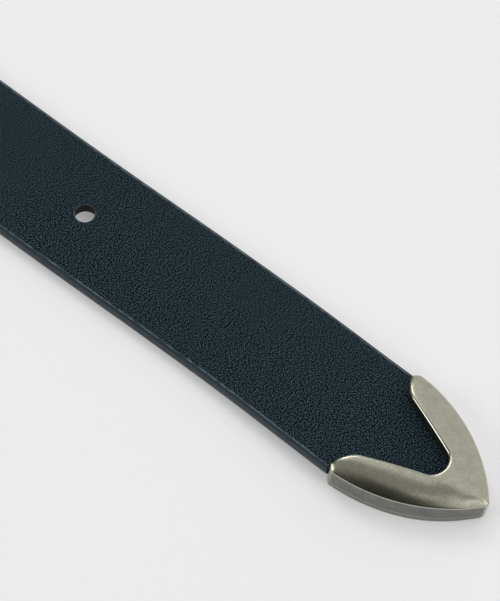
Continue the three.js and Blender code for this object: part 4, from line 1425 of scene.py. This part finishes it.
class BELT_OT_metal_tip(bpy.types.Operator):
    """Builds the cast metal tip"""

    bl_idname = "belt.metal_tip"
    bl_label = "Cast metal tip"

    def execute(self, context):
        settings, looks = settings_and_looks(context, antique_silver)
        make_piece("cast_tip", tip_parts(settings), looks, ["belt_tip"], fill=True,
                   smooth_angle=SHARP_EDGE, mark="wear")
        return {"FINISHED"}


class BELT_OT_keeper(bpy.types.Operator):
    """Builds the leather keeper loop"""

    bl_idname = "belt.keeper"
    bl_label = "Keeper loop"

    def execute(self, context):
        settings, looks = settings_and_looks(context, *STRAP_LOOKS)
        make_piece("keeper_loop", keeper_parts(settings), looks, ["keeper"],
                   smooth_angle=SHARP_EDGE, mark="flat")
        return {"FINISHED"}


class BELT_OT_buckle(bpy.types.Operator):
    """Builds the buckle: its cast frame, its bar and its prong"""

    bl_idname = "belt.buckle"
    bl_label = "Buckle"

    def execute(self, context):
        settings, looks = settings_and_looks(context, antique_silver)
        make_piece("buckle_frame", frame_parts(settings), looks, ["buckle"],
                   smooth_angle=SHARP_EDGE, mark="wear")
        make_piece("buckle_bar", bar_parts(settings), looks, mark="wear")
        make_piece("buckle_prong", prong_parts(settings), looks, mark="wear")
        return {"FINISHED"}


class BELT_OT_seams(bpy.types.Operator):
    """Builds the rows of stitches that hold the strap's turned back end"""

    bl_idname = "belt.seams"
    bl_label = "Stitches"

    def execute(self, context):
        settings, looks = settings_and_looks(context, waxed_thread)
        make_piece("seam_stitches", seam_parts(settings), looks)
        return {"FINISHED"}


class BELT_OT_stage(bpy.types.Operator):
    """Builds the pale floor, the soft studio lights and the camera"""

    bl_idname = "belt.stage"
    bl_label = "Floor, lights and camera"

    def execute(self, context):
        settings, looks = settings_and_looks(context, pale_floor)
        scene = context.scene
        scene.view_settings.view_transform = "Standard"
        mesh = bpy.data.meshes.new("floor")
        corners = [(x * FLOOR_REACH, y * FLOOR_REACH, 0) for x, y in ((-1, -1), (1, -1), (1, 1), (-1, 1))]
        mesh.from_pydata(corners, [], [(0, 1, 2, 3)])
        mesh.materials.append(looks[0])
        floor = bpy.data.objects.new("floor", mesh)
        scene.collection.objects.link(floor)
        for name, place, aim, size, brightness in LIGHTS:
            light = bpy.data.lights.new(name, "AREA")
            light.shape = "RECTANGLE"
            light.size, light.size_y = size
            # A flat panel gives off pi times its brightness from each square metre.
            light.energy = brightness * size[0] * size[1] * math.pi
            lamp = bpy.data.objects.new(name, light)
            lamp.location = place
            lamp.rotation_euler = (Vector(aim) - Vector(place)).to_track_quat("-Z", "Y").to_euler()
            lamp.visible_camera = False
            scene.collection.objects.link(lamp)
        scene.world = studio_air()
        scene.camera = photo_camera(settings)
        return {"FINISHED"}


def studio_air():
    """The studio's dim air, which lights the belt a little, and the pale backdrop past the floor's edge."""
    look = bpy.data.worlds.new("Studio air")
    look.use_nodes = True
    tree = look.node_tree
    tree.nodes.clear()
    air = add_node(
        tree, "ShaderNodeBackground", {"Color": rgba(linear(AIR_COLOUR)), "Strength": AIR_STRENGTH})
    backdrop = add_node(
        tree, "ShaderNodeBackground", {"Color": rgba(linear(BACKDROP_COLOUR)), "Strength": 1.0})
    rays = add_node(tree, "ShaderNodeLightPath")
    blend = add_node(
        tree, "ShaderNodeMixShader",
        {0: rays.outputs["Is Camera Ray"], 1: air.outputs[0], 2: backdrop.outputs[0]})
    add_node(tree, "ShaderNodeOutputWorld", {"Surface": blend.outputs[0]})
    return look


# The studio's panels. Columns: name, place, what it faces, size and brightness.
LIGHTS = (
    ("overhead softbox", (0.25, 1.05, 3.0), (0.25, 1.05, 0.0), (4.5, 1.6), 0.92),
    ("front top panel", (0.25, -0.5, 2.95), (0.25, -0.5, 0.0), (4.5, 1.5), 0.37),
    ("limb front panel", (-0.6, -1.6, 2.95), (-0.6, -1.6, 0.0), (1.3, 0.65), 0.25),
    ("nose top panel", (2.03, -0.2, 2.9), (2.03, -0.2, 0.0), (1.4, 1.1), 0.28),
    ("nose front panel", (1.83, -1.08, 2.9), (1.83, -1.08, 0.0), (1.8, 0.65), 0.45),
    ("back wall", (0.25, 4.0, 3.2), (0.25, 0.0, 3.2), (8.0, 6.4), 0.85),
    ("right back panel", (3.35, 1.25, 2.3), (0.53, 0.0, 0.0), (2.4, 2.4), 0.85),
    ("nose panel", (2.5, -1.05, 2.0), (0.53, 0.0, 0.0), (1.45, 1.9), 0.85),
    ("low right card", (2.82, -1.22, 0.55), (0.53, 0.0, 0.55), (1.5, 1.0), 0.45),
    ("left softbox", (-1.55, -1.9, 1.75), (0.3, 0.0, 0.0), (1.6, 1.9), 3.1),
    ("right softbox", (2.94, 0.43, 1.6), (0.3, 0.0, 0.0), (1.8, 1.9), 0.95),
    ("back left softbox", (-1.9, 1.3, 2.4), (0.3, 0.0, 0.0), (1.4, 1.4), 4.2),
)
AIR_COLOUR = "#ffffff"
AIR_STRENGTH = 0.03
BACKDROP_COLOUR = "#ededed"

# The floor's middle to its side.
FLOOR_REACH = 15.0

# The photograph's camera: the size of the image and the focal length in pixels, a usual sensor's width in
# millimetres, the distance to the middle of the metal tip's back edge, the direction from there to the
# camera, the camera's roll, and that place's pixel.
IMAGE_SIZE = (500, 601)
FOCAL_PIXELS = 3902.0
SENSOR_WIDTH = 36.0
CAMERA_DISTANCE = 1.0
CAMERA_AZIMUTH = math.radians(35.889)
CAMERA_ELEVATION = math.radians(61.969)
CAMERA_ROLL = math.radians(3.704)
TIP_BACK_PIXEL = (370.732, 432.185)


def photo_camera(settings):
    """The camera of the photograph: one metre from the middle of the metal tip's back edge, turned so that
    this place falls on its own pixel."""
    a, e, roll = CAMERA_AZIMUTH, CAMERA_ELEVATION, CAMERA_ROLL
    sight = Vector((math.sin(a) * math.cos(e), -math.cos(a) * math.cos(e), math.sin(e)))
    level = Vector((math.cos(a), math.sin(a), 0))
    upright = sight.cross(level)
    right = math.cos(roll) * level + math.sin(roll) * upright
    up = -math.sin(roll) * level + math.cos(roll) * upright
    origin = Vector(world(np.zeros(3), settings))
    off_x = (TIP_BACK_PIXEL[0] - IMAGE_SIZE[0] / 2) / FOCAL_PIXELS
    off_y = (TIP_BACK_PIXEL[1] - IMAGE_SIZE[1] / 2) / FOCAL_PIXELS
    forward = (-sight - off_x * right + off_y * up).normalized()
    right = forward.cross(up).normalized()
    up = right.cross(forward)
    data = bpy.data.cameras.new("photo camera")
    data.sensor_width = SENSOR_WIDTH
    data.lens = FOCAL_PIXELS / max(IMAGE_SIZE) * SENSOR_WIDTH
    camera = bpy.data.objects.new("photo camera", data)
    camera.matrix_world = Matrix((right, up, -forward)).transposed().to_4x4()
    camera.location = origin + CAMERA_DISTANCE * sight
    bpy.context.scene.collection.objects.link(camera)
    return camera


class BELT_PT_panel(bpy.types.Panel):
    """Lists the belt's pieces"""

    bl_idname = "BELT_PT_panel"
    bl_label = "Western belt"
    bl_space_type = "VIEW_3D"
    bl_region_type = "UI"
    bl_category = "Belt"

    def draw(self, context):
        for operator in PIECES:
            self.layout.operator(operator.bl_idname)


PIECES = (BELT_OT_strap, BELT_OT_metal_tip, BELT_OT_keeper, BELT_OT_buckle, BELT_OT_seams, BELT_OT_stage)
CLASSES = (StrapSizes, TipSizes, BuckleSizes, BeltColours, BeltSettings, *PIECES, BELT_PT_panel)


def register():
    """Makes the settings, operators and panel known to Blender."""
    for kind in CLASSES:
        bpy.utils.register_class(kind)
    bpy.types.Scene.western_belt = bpy.props.PointerProperty(
        type=BeltSettings, name="Western belt", description="Sizes and colours of the belt")


def unregister():
    """Takes them away again."""
    del bpy.types.Scene.western_belt
    for kind in reversed(CLASSES):
        bpy.utils.unregister_class(kind)


def main():
    """Builds every piece in order."""
    register()
    bpy.ops.belt.strap()
    bpy.ops.belt.metal_tip()
    bpy.ops.belt.keeper()
    bpy.ops.belt.buckle()
    bpy.ops.belt.seams()
    bpy.ops.belt.stage()


if __name__ == "__main__":
    main()
